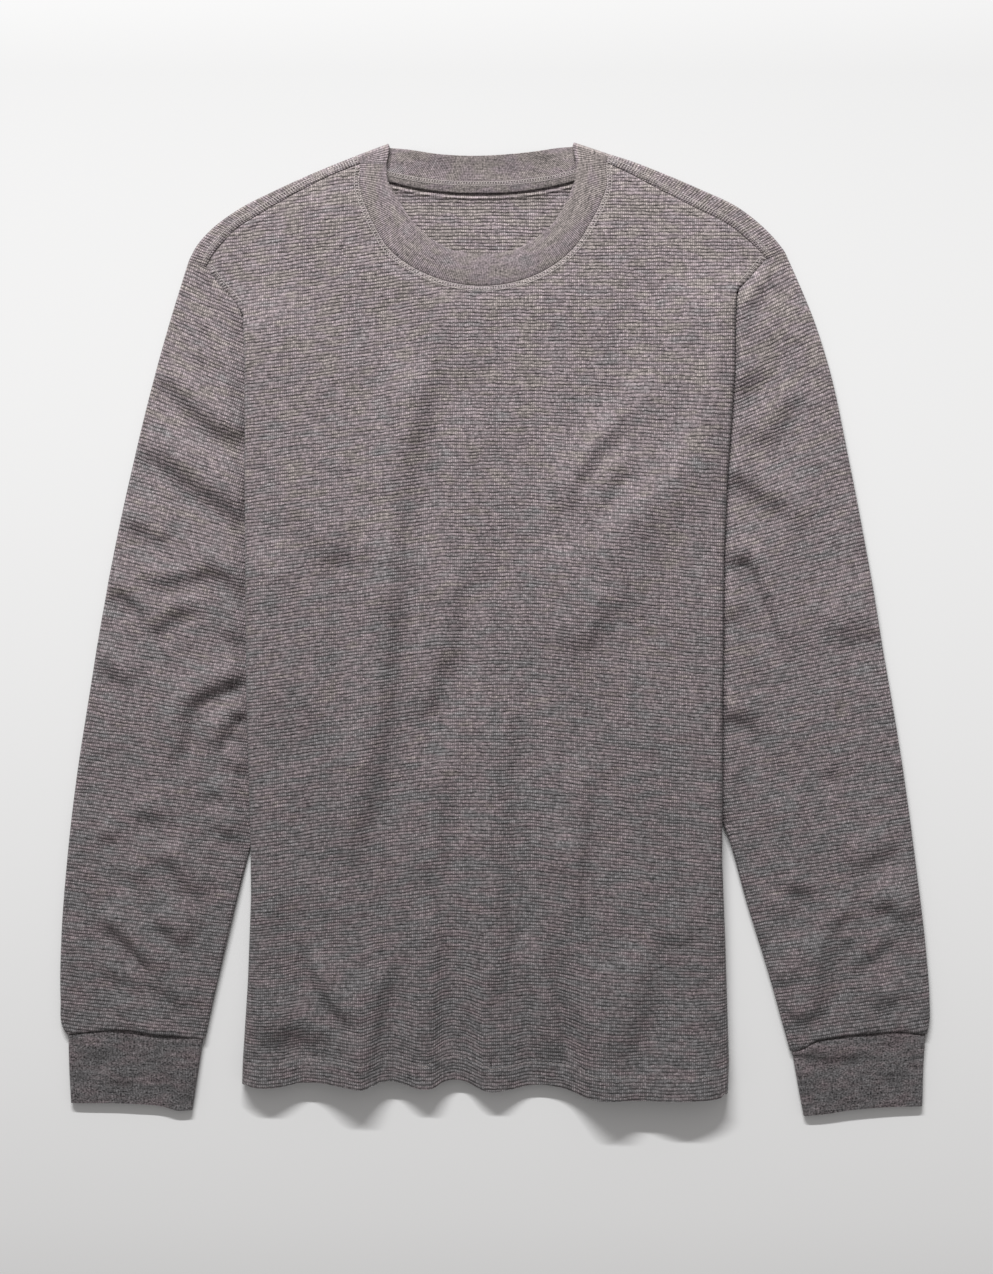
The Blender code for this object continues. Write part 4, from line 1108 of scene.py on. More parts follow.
def shoulder_strip(side):
    """The part of the back that comes over the shoulder, as rows from below to the seam."""
    edge = sampled(SHOULDER_EDGE[side][::-1], SHOULDER_COLUMNS)
    seam = shoulder_seams[side][::-1]
    towards = unit(seam - edge)
    level = shoulder_height(*edge.T)
    radius = ((level - FLOOR_PLY) / 2)[:, None]
    centre = edge + towards * (WALL / 2 + radius)
    rows = []
    for k in range(2 * ROLL_STEPS + 1):
        angle = math.pi * (k / (2 * ROLL_STEPS) - 0.5)
        plan = centre - towards * radius * math.cos(angle)
        rows.append(np.column_stack([plan, FLOOR_PLY + radius[:, 0] * (1.0 + math.sin(angle))]))
    end = seam - towards * SEAM_INSET
    for k in range(1, STRIP_ROWS + 1):
        plan = centre + (end - centre) * k / STRIP_ROWS
        stand = STRIP_STAND * smoothstep(0.0, 1.0, k / STRIP_ROWS)
        height = level + stand + seam_pull(clearance(plan, front_seams))
        rows.append(np.column_stack([plan, height]))
    grid = np.array(rows)
    for column, beside in ((0, 1), (-1, -2)):
        grid[:, column, :2] += SEAM_INSET * unit(grid[:, beside, :2] - grid[:, column, :2])
    return grid


def knit_of_strip(grid):
    """Rows of the knit that run from the seam over the shoulder's edge."""
    along = lengths(grid[-1]) * STRIP_GATHER
    steps = np.linalg.norm(np.diff(grid, axis=0), axis=2)
    across = np.concatenate([np.zeros((1, grid.shape[1])), np.cumsum(steps, axis=0)])
    return np.dstack([-across, np.broadcast_to(along, across.shape)])


def back_side(side, corner):
    """The grid of one side, from the strip's corner down."""
    armhole = offset_run(armholes[side], -SIGN[side] * SEAM_INSET)
    shares = np.arange(CORNER_ROWS)[:, None] / CORNER_ROWS
    run = np.concatenate([corner[:2] + (armhole[0] - corner[:2]) * shares, armhole])
    grid = []
    for i, row in enumerate(side_rows(side, run, RAMP_EDGE_BACK)):
        edge, towards, closing, opening = row
        closing = closing if i >= CORNER_ROWS else 0.0
        start, width = closing * BACK_SETBACK, closing * PLY / 2
        top_z = one(back_height, edge + towards * (start + width))
        flap_z = max(FLOOR_PLY, top_z - PLY * closing)
        heights = (top_z, (top_z + flap_z) / 2, flap_z)
        grid.append(roll(side, row, start, width, heights, back_flap_height))
    grid = np.array(grid)
    grid[0] = corner
    return grid


def back_panel(finish):
    strips = {side: shoulder_strip(side) for side in FOLD}
    left_top, right_top = strips["left"][0], strips["right"][0][::-1]
    neck = smooth_curve([left_top[-1, :2], *NECK_BACK_SEAM, right_top[0, :2]])
    neck = offset_run(neck(np.linspace(0, 1, BACK_NECK_COLUMNS + 1)), SEAM_INSET)[1:-1]
    grids = {"left": back_side("left", left_top[0]), "right": back_side("right", right_top[-1])}
    sheet = Sheet()
    for side, grid in grids.items():
        sheet.grid(grid, knit_of_side(side, grid))
        sheet.grid(strips[side], knit_of_strip(strips[side]))
    hem = hem_line[::-2][2:-2].copy()
    hem[:, 1] = BACK_HEM_RISE
    neck, hem = (np.column_stack([plan, back_height(*plan.T)]) for plan in (neck, hem))
    outline = np.concatenate(
        [grids["left"][::-1, -1], left_top[1:], neck, right_top, grids["right"][1:, -1], hem]
    )
    lines = [(offset_run(tape_edge, at), ALLOWANCE_CLEARANCE * at) for at in ALLOWANCE_LINES]
    points, faces = filled(outline, lines, BACK_SPACING, back_top)
    sheet.add(points, points[:, :2], faces)
    return sheet.piece("back_cloth", WALL, finish, RIM)


# %% [markdown]
# ## Sleeves and cuffs
# A sleeve is one piece sewn into a tube, and so is a cuff. Laid flat, a tube has two plies with a
# tight fold at either side, and a little air between them. So each ring of points runs across
# the top, round one fold, back along the floor and round the other fold. Where a ring starts
# doesn't show, so it starts in the middle of the underside. A sleeve is sewn in at an angle and
# then pulled straight down, so the rows of its knit lean near the shoulder and come level
# towards the cuff.

# %% A flattened tube
SKEW_SPAN = (1.5, -0.5)  # how much the rows lean at the top, and back again lower down
SKEW_REACH = 260.0


def tube_knit(ring, first, last, plan, skew):
    """Places in the knit: the top's own, from column first to last, then measured round it."""
    axis = unit(plan[-1].mean(axis=0) - plan[0].mean(axis=0))
    aside = np.array([-axis[1], axis[0]])
    steps = np.linalg.norm(np.diff(ring, axis=1), axis=2)
    across = np.concatenate([np.zeros((len(ring), 1)), np.cumsum(steps, axis=1)], axis=1)
    knit_x = ring[..., :2] @ aside
    before, after = slice(0, first), slice(last + 1, None)
    knit_x[:, before] = knit_x[:, [first]] - (across[:, [first]] - across[:, before])
    knit_x[:, after] = knit_x[:, [last]] + (across[:, after] - across[:, [last]])
    knit_y = -(ring[..., :2] @ axis)
    down = knit_y.max() - knit_y
    steepness = SKEW_SPAN[0] * np.exp(-((down / SKEW_REACH) ** 2)) + SKEW_SPAN[1]
    lean = skew * steepness * (knit_x - knit_x.mean())
    return np.dstack([knit_x, knit_y + lean])


def across_rows(plan, insets):
    """Every row of plan points, with its ends moved inwards and the others spread evenly."""
    moved = np.empty_like(plan)
    for i, row in enumerate(plan):
        at = lengths(row)
        start, end = insets[0][i], insets[1][i]
        target = start + (at[-1] - start - end) * at / at[-1]
        for axis in (0, 1):
            moved[i, :, axis] = np.interp(target, at, row[:, axis])
    return moved


def tube(name, plan, wall, floor, top_height, finish, rim, skew=0.0):
    """A sheet on rows of plan points that run from the outer edge to the inner one."""
    edge_heights = [top_height(plan[:, k]) for k in (0, -1)]
    radii = [(height - floor) / 2 for height in edge_heights]
    flat = across_rows(plan, [wall / 2 + radius for radius in radii])
    heights = top_height(flat.reshape(-1, 2)).reshape(flat.shape[:2])
    heights[:, 0], heights[:, -1] = edge_heights
    top = np.dstack([flat, heights])
    arcs = []
    for end, beside, radius in ((0, 1, radii[0]), (-1, -2, radii[1])):
        towards = unit(flat[:, beside] - flat[:, end])
        columns = []
        for k in range(1, 2 * ROLL_STEPS):
            angle = 0.5 * math.pi * (1.0 - k / ROLL_STEPS)
            across = flat[:, end] - towards * (radius * math.cos(angle))[:, None]
            columns.append(np.column_stack([across, floor + radius * (1.0 + math.sin(angle))]))
        arcs.append(np.stack(columns, axis=1))
    under = np.dstack([flat, np.full(flat.shape[:2], floor)])[:, ::-1]
    half_under = under.shape[1] // 2
    ring = np.concatenate(
        [under[:, half_under:], arcs[0][:, ::-1], top, arcs[1], under[:, : half_under + 1]],
        axis=1,
    )
    first = under.shape[1] - half_under + arcs[0].shape[1]
    last = first + top.shape[1] - 1
    sheet = Sheet()
    sheet.grid(ring, tube_knit(ring, first, last, plan, skew))
    return sheet.piece(name, wall, finish, rim)


print("a ring of a tube has", 2 * (2 * ROLL_STEPS - 1), "points in its two folds")

# %% Creases on the sleeves
SLEEVE_CREASES = {
    "left": [
        (6.9, 4.2, [(-228, 636), (-218, 632), (-207, 622), (-197, 608), (-190, 596), (-184, 578),
            (-182, 556)]),
        (4.8, 2.1, [(-229, 565), (-220, 561), (-212, 562)]),
        (6.4, 4.6, [(-262, 566), (-252, 552), (-239, 540), (-223, 523), (-208, 510), (-187, 502),
            (-173, 496)]),
        (6.9, 2.6, [(-196, 522), (-190, 505), (-187, 482)]),
        (8.5, 5.8, [(-277, 506), (-264, 497), (-250, 487), (-238, 478), (-225, 468), (-212, 460),
            (-200, 452), (-190, 442), (-183, 434), (-171, 424)]),
        (6.4, 3.8, [(-290, 438), (-278, 436), (-266, 434), (-256, 428), (-238, 423)]),
        (6.4, 4.5, [(-279, 402), (-265, 395), (-250, 392), (-235, 393), (-222, 397), (-212, 401),
            (-204, 399), (-196, 394), (-187, 385), (-174, 374)]),
        (6.5, 4.8, [(-304, 391), (-294, 388), (-284, 384), (-276, 380), (-268, 374), (-260, 364)]),
        (6.2, 4.1, [(-260, 350), (-251, 357), (-244, 364), (-236, 369), (-226, 371), (-214, 369)]),
        (5.5, 3.1, [(-204, 358), (-192, 350), (-184, 342), (-172, 333)]),
        (6.4, 3.8, [(-311, 338), (-299, 331), (-290, 324), (-282, 319), (-270, 311)]),
        (6.2, 5.1, [(-247, 246), (-238, 258), (-233, 268), (-230, 280), (-230, 290), (-226, 298),
            (-219, 304), (-209, 309), (-198, 313), (-183, 316), (-166, 317)]),
        (4.6, 4.6, [(-206, 262), (-203, 270), (-199, 279), (-194, 285), (-188, 288), (-182, 289),
            (-166, 288)]),
        (3.8, 3.4, [(-199, 276), (-193, 273), (-187, 268), (-182, 261), (-174, 250)]),
        (5.5, 3.1, [(-204, 260), (-192, 250), (-182, 246), (-168, 242)]),
        (4.8, 2.9, [(-218, 235), (-208, 229), (-198, 220)]),
        (5.5, 3.1, [(-214, 211), (-205, 205), (-198, 198), (-186, 199)]),
        (6.2, 3.0, [(-276, 216), (-262, 212), (-252, 213), (-240, 212)]),
        (5.5, 3.1, [(-300, 200), (-290, 196), (-280, 193)]),
        (6.8, 4.2, [(-253, 186), (-249, 182), (-240, 175), (-234, 167), (-228, 158), (-218, 146)]),
        (6.4, 3.2, [(-284, 176), (-275, 168), (-264, 158)]),
        (5.8, 5.6, [(-302, 138), (-294, 131), (-283, 124), (-274, 115), (-266, 106), (-258, 98),
            (-246, 87)]),
        (5.8, 4.4, [(-260, 135), (-252, 129), (-244, 124), (-237, 116), (-229, 109)]),
        (5.8, 2.4, [(-300, 98), (-292, 94), (-282, 88), (-272, 84), (-260, 77)]),
        (6.2, 2.8, [(-266, 90), (-258, 85), (-245, 76), (-236, 68), (-226, 60)]),
    ],
    "right": [
        (7.0, 3.4, [(193, 598), (203, 607), (212, 618), (223, 632)]),
        (8.0, 3.4, [(180, 528), (194, 538), (204, 545), (213, 552), (224, 561)]),
        (8.1, 3.6, [(212, 492), (219, 502), (225, 512), (230, 522), (237, 531), (247, 542)]),
        (6.4, 4.6, [(170, 482), (185, 475), (194, 470), (202, 465), (211, 459), (220, 453),
            (230, 449), (234, 440), (239, 426)]),
        (6.5, 3.6, [(168, 367), (184, 367), (190, 366), (199, 360)]),
        (12.0, 3.2, [(262, 342), (276, 350), (292, 354), (308, 355), (326, 354)]),
        (6.4, 4.6, [(166, 289), (184, 289), (195, 288), (210, 281)]),
        (6.4, 4.3, [(228, 156), (238, 156), (245, 155), (253, 160)]),
        (6.5, 2.9, [(231, 130), (237, 142), (241, 152)]),
        (7.5, 3.6, [(283, 168), (294, 177), (303, 182), (312, 189), (320, 196)]),
        (6.4, 4.6, [(293, 143), (304, 143), (311, 141), (318, 133), (324, 126)]),
        (6.5, 3.6, [(260, 130), (270, 129), (278, 135), (288, 139)]),
        (5.7, 3.2, [(272, 118), (279, 117), (286, 121)]),
        (5.7, 3.2, [(286, 91), (295, 103), (303, 110), (312, 116), (322, 120)]),
        (9.5, 5.4, [(253, 48), (258, 70), (261, 90), (262, 110), (262, 128)]),
        (6.5, 2.6, [(245, 50), (250, 58), (255, 67)]),
        (6.5, 3.2, [(296, 62), (306, 69), (314, 72), (324, 82)]),
        (6.5, 2.6, [(218, 98), (226, 87), (234, 78)]),
        (6.5, 2.6, [(256, 250), (264, 246), (272, 243)]),
        (7.0, 3.8, [(168, 402), (184, 404), (193, 405), (200, 405), (206, 397), (210, 387),
            (214, 377), (219, 364), (223, 352), (227, 339), (230, 325)]),
    ],
}
SLEEVE_HOLLOWS = {  # half width, depth, then the bottom line of a valley
    "left": [
        (4.0, 1.9, [(-262, 411), (-240, 408), (-215, 412)]),
        (3.6, 3.4, [(-203, 312), (-194, 313), (-187, 313), (-180, 312)]),
        (3.2, 3.2, [(-200, 290), (-193, 288), (-187, 288), (-180, 289)]),
        (2.8, 2.5, [(-194, 272), (-189, 270), (-184, 269), (-179, 269)]),
    ],
    "right": [
        (3.4, 4.4, [(168, 404), (186, 406), (193, 407), (200, 407), (206, 399), (210, 389),
            (214, 379), (219, 366), (223, 354), (227, 341), (231, 322)]),
        (9.0, 3.4, [(202, 288), (212, 268), (220, 250), (228, 232), (234, 214)]),
    ],
}
print("creases on the sleeves:", *map(len, SLEEVE_CREASES.values()))

# %% Sleeves
SLEEVE_ROWS = 150
SLEEVE_COLUMNS = 56
CLOSE_ROWS = (1.0, 2.2, 3.8, 5.5)  # extra rows at these distances from either seam
CLOSE_GAP = 1.3
SLEEVE_SKEW = 0.2
SLEEVE_EDGE_LOFT = 1.4
SLEEVE_CROWN = 2.6
SLEEVE_FULL_BELOW = 70.0
SHOULDER_DROP = 40.0
SLEEVE_FLAT = {"left": (0.2, 15.0), "right": (0.2, 4.0)}  # outside the body's fold, where it fills
SLEEVE_HELD = {"left": 1.0, "right": 4.5}  # how much higher it lies just below the armhole
SLEEVE_HELD_SPAN = (14.0, 120.0)  # outwards and downwards
SLEEVE_BESIDE = {"left": 0.0, "right": 3.0}  # and where it comes out from under the body
SLEEVE_BESIDE_ENDS = (150.0, 230.0)
UNDER_FOLD_ROOM = {"left": 2.6, "right": 5.6}  # inside it, beside the top of the body's fold
FOLD_CLEAR = (0.2, 2.0)
SEAM_SETTLE = 12.0  # beside the armhole, where the sleeve still lies as high as the front
CREASE_CLEAR = (0.0, 3.0)  # outside the body's fold, where the sleeve comes clear of it
CREASE_EDGE = (-3.0, 5.0)  # inside the sleeve's own edges, where creases fade
CREASE_SINK = 0.8  # the share of the air inside that a crease may take up
PULL_LEAST = 0.5  # of the seams' pull, where the sleeve lies under the body
CUFF_LINE_STEPS = 30


def armhole_of_sleeve(side):
    """The sleeve's whole armhole, from the shoulder's edge to the underarm, evenly spaced."""
    hidden_y = np.linspace(fold_top(side), UNDERARM_Y, 40)[1:]
    hidden_x = fold_x(side, hidden_y) + SIGN[side] * flap_width(side, hidden_y)
    shoulder = sampled([SHOULDER_EDGE[side][-1], SHOULDER_SEAM[side][-1]], 3)[:-1]
    whole = np.concatenate([shoulder, armholes[side], np.column_stack([hidden_x, hidden_y])])
    at = lengths(whole)
    even = np.linspace(0.0, at[-1], SLEEVE_COLUMNS + 1)
    return np.column_stack([np.interp(even, at, whole[:, axis]) for axis in (0, 1)])


def graded(count, length, close):
    """Shares from 0 to 1: even, with extra ones at these distances from both ends."""
    even = np.linspace(0.0, 1.0, count + 1)[1:-1]
    close = np.array([0.0, *close]) / length
    gap = close[-1] * CLOSE_GAP
    even = even[(even > gap) & (even < 1.0 - gap)]
    return np.concatenate([close, even, 1.0 - close[::-1]])


def sleeve_top(side, plan):
    """The height of a sleeve's upper ply."""
    x, y = plan.T
    outside = -inward(side, x, y)
    from_armhole = clearance(plan, [armholes[side]])
    outer, inner = at_height(SLEEVE_OUTER[side], y), at_height(SLEEVE_INNER[side], y)
    across = np.clip((x - outer) / (inner - outer), 0.0, 1.0)

    # the air inside it, and what holds it up beside the body
    free = smoothstep(*SLEEVE_FLAT[side], outside)
    full = smoothstep(0.0, SLEEVE_FULL_BELOW, fold_top(side) - y + SHOULDER_DROP)
    loft = SLEEVE_EDGE_LOFT + SLEEVE_CROWN * np.sin(math.pi * across)
    clear = smoothstep(*FOLD_CLEAR, outside)
    below = 1.0 - smoothstep(0.0, SLEEVE_HELD_SPAN[1], fold_top(side) - y)
    held = SLEEVE_HELD[side] * below + SLEEVE_BESIDE[side] * smoothstep(*SLEEVE_BESIDE_ENDS, y)
    room = free * (LOFT + full * loft)
    room += held * clear * np.exp(-((outside / SLEEVE_HELD_SPAN[0]) ** 2))

    # beside the armhole it lies as high as the front does
    beside_seam = smoothstep(0.0, SEAM_SETTLE, from_armhole)
    near = near_fold_top(side, y, RAMP_EDGE)
    at_seam = (shoulder_height(x, y) - FLOOR_PLY - PLY) * (1.0 - near)
    at_seam += UNDER_FOLD_ROOM[side] * near * clear
    settled = at_seam + (room - at_seam) * beside_seam
    room = np.where(y > fold_top(side) - SEAM_SETTLE, settled, room)

    soft = creased(SLEEVE_CREASES[side], crease_profile, x, y) + ripples(x, y)
    soft += creased(SLEEVE_HOLLOWS[side], hollow_profile, x, y)
    from_edge = np.minimum(SIGN[side] * (x - outer), SIGN[side] * (inner - x))
    soft *= smoothstep(*CREASE_CLEAR, outside) * smoothstep(*CREASE_EDGE, from_edge)
    cuff_line = sampled(CUFF_SEAM[side], CUFF_LINE_STEPS)
    pull = seam_pull(clearance(plan, [cuff_line, armholes[side]]))
    height = FLOOR_PLY + PLY + room + pull * np.minimum(1.0, free + PULL_LEAST)
    return height + np.maximum(soft * beside_seam, -CREASE_SINK * room)


def sleeve(side, finish):
    armhole = armhole_of_sleeve(side)
    shares = lengths(armhole) / lengths(armhole)[-1]
    cuff_seam = smooth_curve(CUFF_SEAM[side])(shares)
    top = offset_run(armhole, SIGN[side] * SEAM_INSET)
    bottom = offset_run(cuff_seam, -SIGN[side] * SEAM_INSET)
    outer = smooth_curve([top[0], *SLEEVE_OUTER[side][1:-1], bottom[0]])
    inner = smooth_curve([top[-1], *SLEEVE_INNER[side][1:-1], bottom[-1]])
    rows = graded(SLEEVE_ROWS, outer.length, CLOSE_ROWS)
    plan = coons(top, bottom, outer(rows), inner(rows), shares, rows)
    return tube(
        f"sleeve_cloth_{side}", plan, WALL, FLOOR_PLY, lambda p: sleeve_top(side, p), finish, RIM,
        SIGN[side] * SLEEVE_SKEW,
    )


# %% Cuffs
CUFF_ROWS = 22
CUFF_COLUMNS = 48
CUFF_RIM = 0.85
CUFF_LOFT = 1.4
CUFF_CROWN = 0.8
CUFF_CREASE_START = (0.0, 4.0)  # below the cuff's seam
CUFF_CREASES = {
    "left": [
        (5.0, 1.2, [(-318, 32), (-296, 28), (-276, 30)]),
        (6.0, 1.4, [(-250, 24), (-240, 8), (-234, -10)]),
        (5.0, 1.0, [(-300, 12), (-280, 6), (-262, 8)]),
    ],
    "right": [
        (4.0, 2.2, [(228, 38), (240, 33), (252, 28), (268, 26), (284, 27), (300, 32)]),
        (6.0, 1.2, [(250, 12), (262, 2), (270, -14)]),
        (5.0, 1.0, [(296, 18), (312, 12), (330, 14)]),
    ],
}


def cuff(side, finish):
    floor = CUFF_WALL / 2
    curve = smooth_curve([CUFF_OUTER[side][0], *CUFF_SEAM[side][1:-1], CUFF_INNER[side][0]])
    places = np.linspace(0.0, 1.0, CUFF_COLUMNS + 1)
    seam = curve(places)
    top = offset_run(seam, SIGN[side] * SEAM_INSET)
    bottom = smooth_curve(CUFF_EDGE[side])(places)
    outer = smooth_curve([top[0], *CUFF_OUTER[side][1:]])
    inner = smooth_curve([top[-1], *CUFF_INNER[side][1:]])
    rows = graded(CUFF_ROWS, outer.length, CLOSE_ROWS[:3])
    plan = coons(top, bottom, outer(rows), inner(rows), places, rows)
    middle = (seam[0] + seam[-1]) / 2
    half_width = np.linalg.norm(seam[0] - seam[-1]) / 2

    def cuff_top(points):
        off_middle = np.minimum(1.0, np.abs(points[:, 0] - middle[0]) / half_width)
        crown = CUFF_CROWN * np.cos(0.5 * math.pi * off_middle)
        from_seam = clearance(points, [seam])
        soft = creased(CUFF_CREASES[side], crease_profile, *points.T)
        soft *= smoothstep(*CUFF_CREASE_START, from_seam)
        return floor + CUFF_WALL + CUFF_LOFT + crown + soft + seam_pull(from_seam)

    return tube(f"cuff_rib_{side}", plan, CUFF_WALL, floor, cuff_top, finish, CUFF_RIM)


# %% [markdown]
# ## Neckband and tape
# The neckband is a strip of fine rib, doubled and sewn into a ring, a little shorter than the
# neckline, so that it hugs the neck. It lies flat and turns over above each shoulder, and its
# back leans up a little. A narrow tape covers the back neck seam on the inside, where it would
# otherwise rub. It is sewn along its upper edge and droops a little along the lower one.

# %% Neckband
BAND_STEPS = 9
BAND_RIM = 1.0
BAND_CROWN = 0.75
BAND_EDGE_DROP = 0.5
BACK_STAND = 3.4  # the back of the band leans up a little towards its free edge
BACK_STAND_ENDS = 0.16


def band_level():
    """The height at which the band lies on the front."""
    return one(shoulder_height, NECK_CENTRE)


def band_row(seam, edge, height, crown):
    """Points across the band, from its seam to its free edge, a little domed."""
    shares = np.linspace(0.0, 1.0, BAND_STEPS + 1)
    plan = seam + (edge - seam) * shares[:, None]
    dome = crown * (BAND_CROWN * np.sin(math.pi * shares) - BAND_EDGE_DROP * (1 - shares) ** 4)
    return np.column_stack([plan, height + dome])


def band_turn(side):
    """Rows of the band's fold above a shoulder, from the front's height down to the floor's."""
    floor = BAND_WALL / 2
    radius = (band_level() - floor) / 2
    seam = np.array(SHOULDER_EDGE[side][0])
    tip = np.array(NECK_FRONT_EDGE[0 if side == "left" else -1])
    along = unit(tip - seam)
    forward = np.array([along[1], -along[0]]) * SIGN[side]
    rows = []
    for k in range(2 * ROLL_STEPS + 1):
        angle = 0.5 * math.pi * (1.0 - k / ROLL_STEPS)
        shift = forward * (BAND_WALL / 2 + radius * (1.0 - math.cos(angle)))
        height = floor + radius * (1.0 + math.sin(angle))
        crown = max(0.0, math.sin(angle))
        rows.append(band_row(seam + along * SEAM_INSET + shift, tip + shift, height, crown))
    return rows


def neckband(finish):
    front_seam = offset_run(neck_front, -SEAM_INSET)
    front_edge = sampled(NECK_FRONT_EDGE[1:-1], NECK_COLUMNS)
    front = [band_row(*ends, band_level(), 1.0) for ends in zip(front_seam, front_edge)]
    left, right = band_turn("left"), band_turn("right")
    seam_ends = [turn[-1][0][:2] for turn in (left, right)]
    edge_ends = [turn[-1][-1][:2] for turn in (left, right)]
    back_seam = sampled([seam_ends[0], *NECK_BACK_SEAM, seam_ends[1]], BACK_NECK_COLUMNS)
    back_edge = sampled([edge_ends[0], *NECK_BACK_EDGE[1:-1], edge_ends[1]], BACK_NECK_COLUMNS)
    back = [
        band_row(*ends, BAND_WALL / 2, 0.0)
        for ends in zip(offset_run(back_seam, -SEAM_INSET), back_edge)
    ][1:-1]
    places = np.linspace(0.0, 1.0, len(back))
    stand = smoothstep(0.0, BACK_STAND_ENDS, np.minimum(places, 1.0 - places))
    for row, share in zip(back, stand):
        row[:, 2] += BACK_STAND * share * np.linspace(0.0, 1.0, BAND_STEPS + 1) ** 2
    ring = np.array(front + right + back[::-1] + left[::-1] + front[:1])
    along = lengths(ring[:, BAND_STEPS // 2])
    across = lengths(ring[0])
    sheet = Sheet()
    sheet.grid(ring, np.stack(np.meshgrid(along, across, indexing="ij"), axis=2))
    return sheet.piece("neckband_rib", BAND_WALL, finish, BAND_RIM)


# %% Tape
TAPE_AIR = 0.3
TAPE_RIM = 0.35
TAPE_STEPS = 5
TAPE_COLUMNS = 80
TAPE_DROOP = 0.6  # at its free lower edge


def neck_tape(finish):
    height = BAND_WALL + TAPE_AIR + TAPE_WALL / 2
    top, bottom = (sampled(run, TAPE_COLUMNS) for run in (TAPE_TOP, TAPE_BOTTOM))
    shares = np.linspace(0.0, 1.0, TAPE_STEPS + 1)[:, None, None]
    plan = top * (1 - shares) + bottom * shares
    droop = TAPE_DROOP * shares[:, :, 0] ** 2
    grid = np.dstack([plan, height - np.broadcast_to(droop, plan.shape[:2])])
    along = lengths(top)
    across = -lengths(grid[:, 0])
    sheet = Sheet()
    sheet.grid(grid, np.stack(np.meshgrid(along, across), axis=2))
    return sheet.piece("neck_tape_cloth", TAPE_WALL, finish, TAPE_RIM)


# %% [markdown]
# ## The finishes
# The yarn is a heather: fibres of warm grey, mauve and beige are blended before spinning, so its
# colour drifts in soft patches and flickers from stitch to stitch. A scanned swatch could be
# wrapped round the pieces, but noise in the knit's own places has no edge and no repeat.

# %% Places in the knit
NOISE_ROUGHNESS = 0.55


def knit_places(wire):
    """How far across and how far along the cloth a point lies, in metres."""
    place = wire.node("ShaderNodeUVMap", {"uv_map": "cloth"})
    across = wire.node("ShaderNodeSeparateXYZ", values={"Vector": place})
    return across, across.output("Y")


def cloth_noise(wire, across, along, sizes, detail=2.0, shift=0.0):
    """Noise from 0 to 1, whose blots have these sizes in metres across and along the cloth."""
    where = wire.node(
        "ShaderNodeCombineXYZ",
        values={"X": across * (1.0 / sizes[0]), "Y": along * (1.0 / sizes[1]), "Z": shift},
    )
    values = {"Vector": where, "Scale": 1.0, "Detail": detail, "Roughness": NOISE_ROUGHNESS}
    return wire.node("ShaderNodeTexNoise", {"noise_dimensions": "3D"}, values)


def wave(wire, turns):
    """0 at every whole turn and 1 halfway between them."""
    return wire.math("COSINE", turns * (2 * math.pi)) * -0.5 + 0.5


# %% Heather yarn
MAUVE = (0.195, 0.161, 0.170, 1)
WARM_GREY = (0.182, 0.160, 0.165, 1)
BLUE_GREY = (0.160, 0.153, 0.157, 1)
BEIGE = (0.196, 0.170, 0.163, 1)
BROAD_PATCH = (0.055, 0.03)
BROAD_SHARE = 0.4
PATCH = (0.022, 0.009)
STREAK = (0.017, 0.0021)
STREAK_SHARE = 0.9
FLECK = (0.0011, 0.0008)
FLECK_SHARE = 2.4
# painted light: the yarn's tones are painted warmer and a little paler towards the collar, where
# the light is stronger
PAINTED_LIGHT_DRIFT = 0.38  # a little warmer towards the collar
TONE_START = 0.02
TONES = [(0.30, BLUE_GREY), (0.46, WARM_GREY), (0.58, MAUVE), (0.72, BEIGE)]
SHEEN = (0.12, 0.5)  # the soft light of fibre ends: its weight and its roughness
SPECULAR = 0.25


def heather(wire, across, along, strength=1.0, coarseness=1.0):
    """The yarn's colour with painted light, and the flicker of its brightness around 1."""
    broad = cloth_noise(wire, across, along, BROAD_PATCH, detail=2.5, shift=25.0) - 0.5
    patch = broad * BROAD_SHARE + cloth_noise(wire, across, along, PATCH, detail=2.0)
    place = wire.node("ShaderNodeTexCoord", output="Object")
    painted_light_place = wire.node("ShaderNodeSeparateXYZ", values={"Vector": place}, output="Y")
    # the patches are the yarn's own; the drift along Y is painted light, warmer and paler towards
    # the collar
    tones = wire.node(
        "ShaderNodeValToRGB",
        {"stops": TONES},
        {"Fac": patch + painted_light_place * PAINTED_LIGHT_DRIFT + TONE_START},
    )
    streak = cloth_noise(wire, across, along, STREAK, detail=2.0, shift=4.0)
    size = (FLECK[0] * coarseness, FLECK[1] * coarseness)
    fleck = cloth_noise(wire, across, along, size, detail=2.0, shift=9.0)
    flicker = (streak - 0.5) * (STREAK_SHARE * strength) + (fleck - 0.5) * (FLECK_SHARE * strength)
    return tones, flicker + 1.0


def tinted(wire, colour, brightness):
    """A colour made lighter or darker by a number that varies over the cloth."""
    grey = wire.node("ShaderNodeCombineXYZ", values=dict(zip("XYZ", [brightness] * 3)))
    return wire.node("ShaderNodeVectorMath", {"operation": "MULTIPLY"}, {0: colour, 1: grey})


def connect(shader, made, colour, roughness, normal):
    """Joins what varies over the surface to the shader."""
    links = made.node_tree.links
    links.new(colour.socket, shader.inputs["Base Color"])
    links.new(roughness.socket, shader.inputs["Roughness"])
    links.new(normal.socket, shader.inputs["Normal"])
    shader.inputs["Specular IOR Level"].default_value = SPECULAR
    shader.inputs["Sheen Weight"].default_value = SHEEN[0]
    shader.inputs["Sheen Roughness"].default_value = SHEEN[1]


print("heather tones ready")
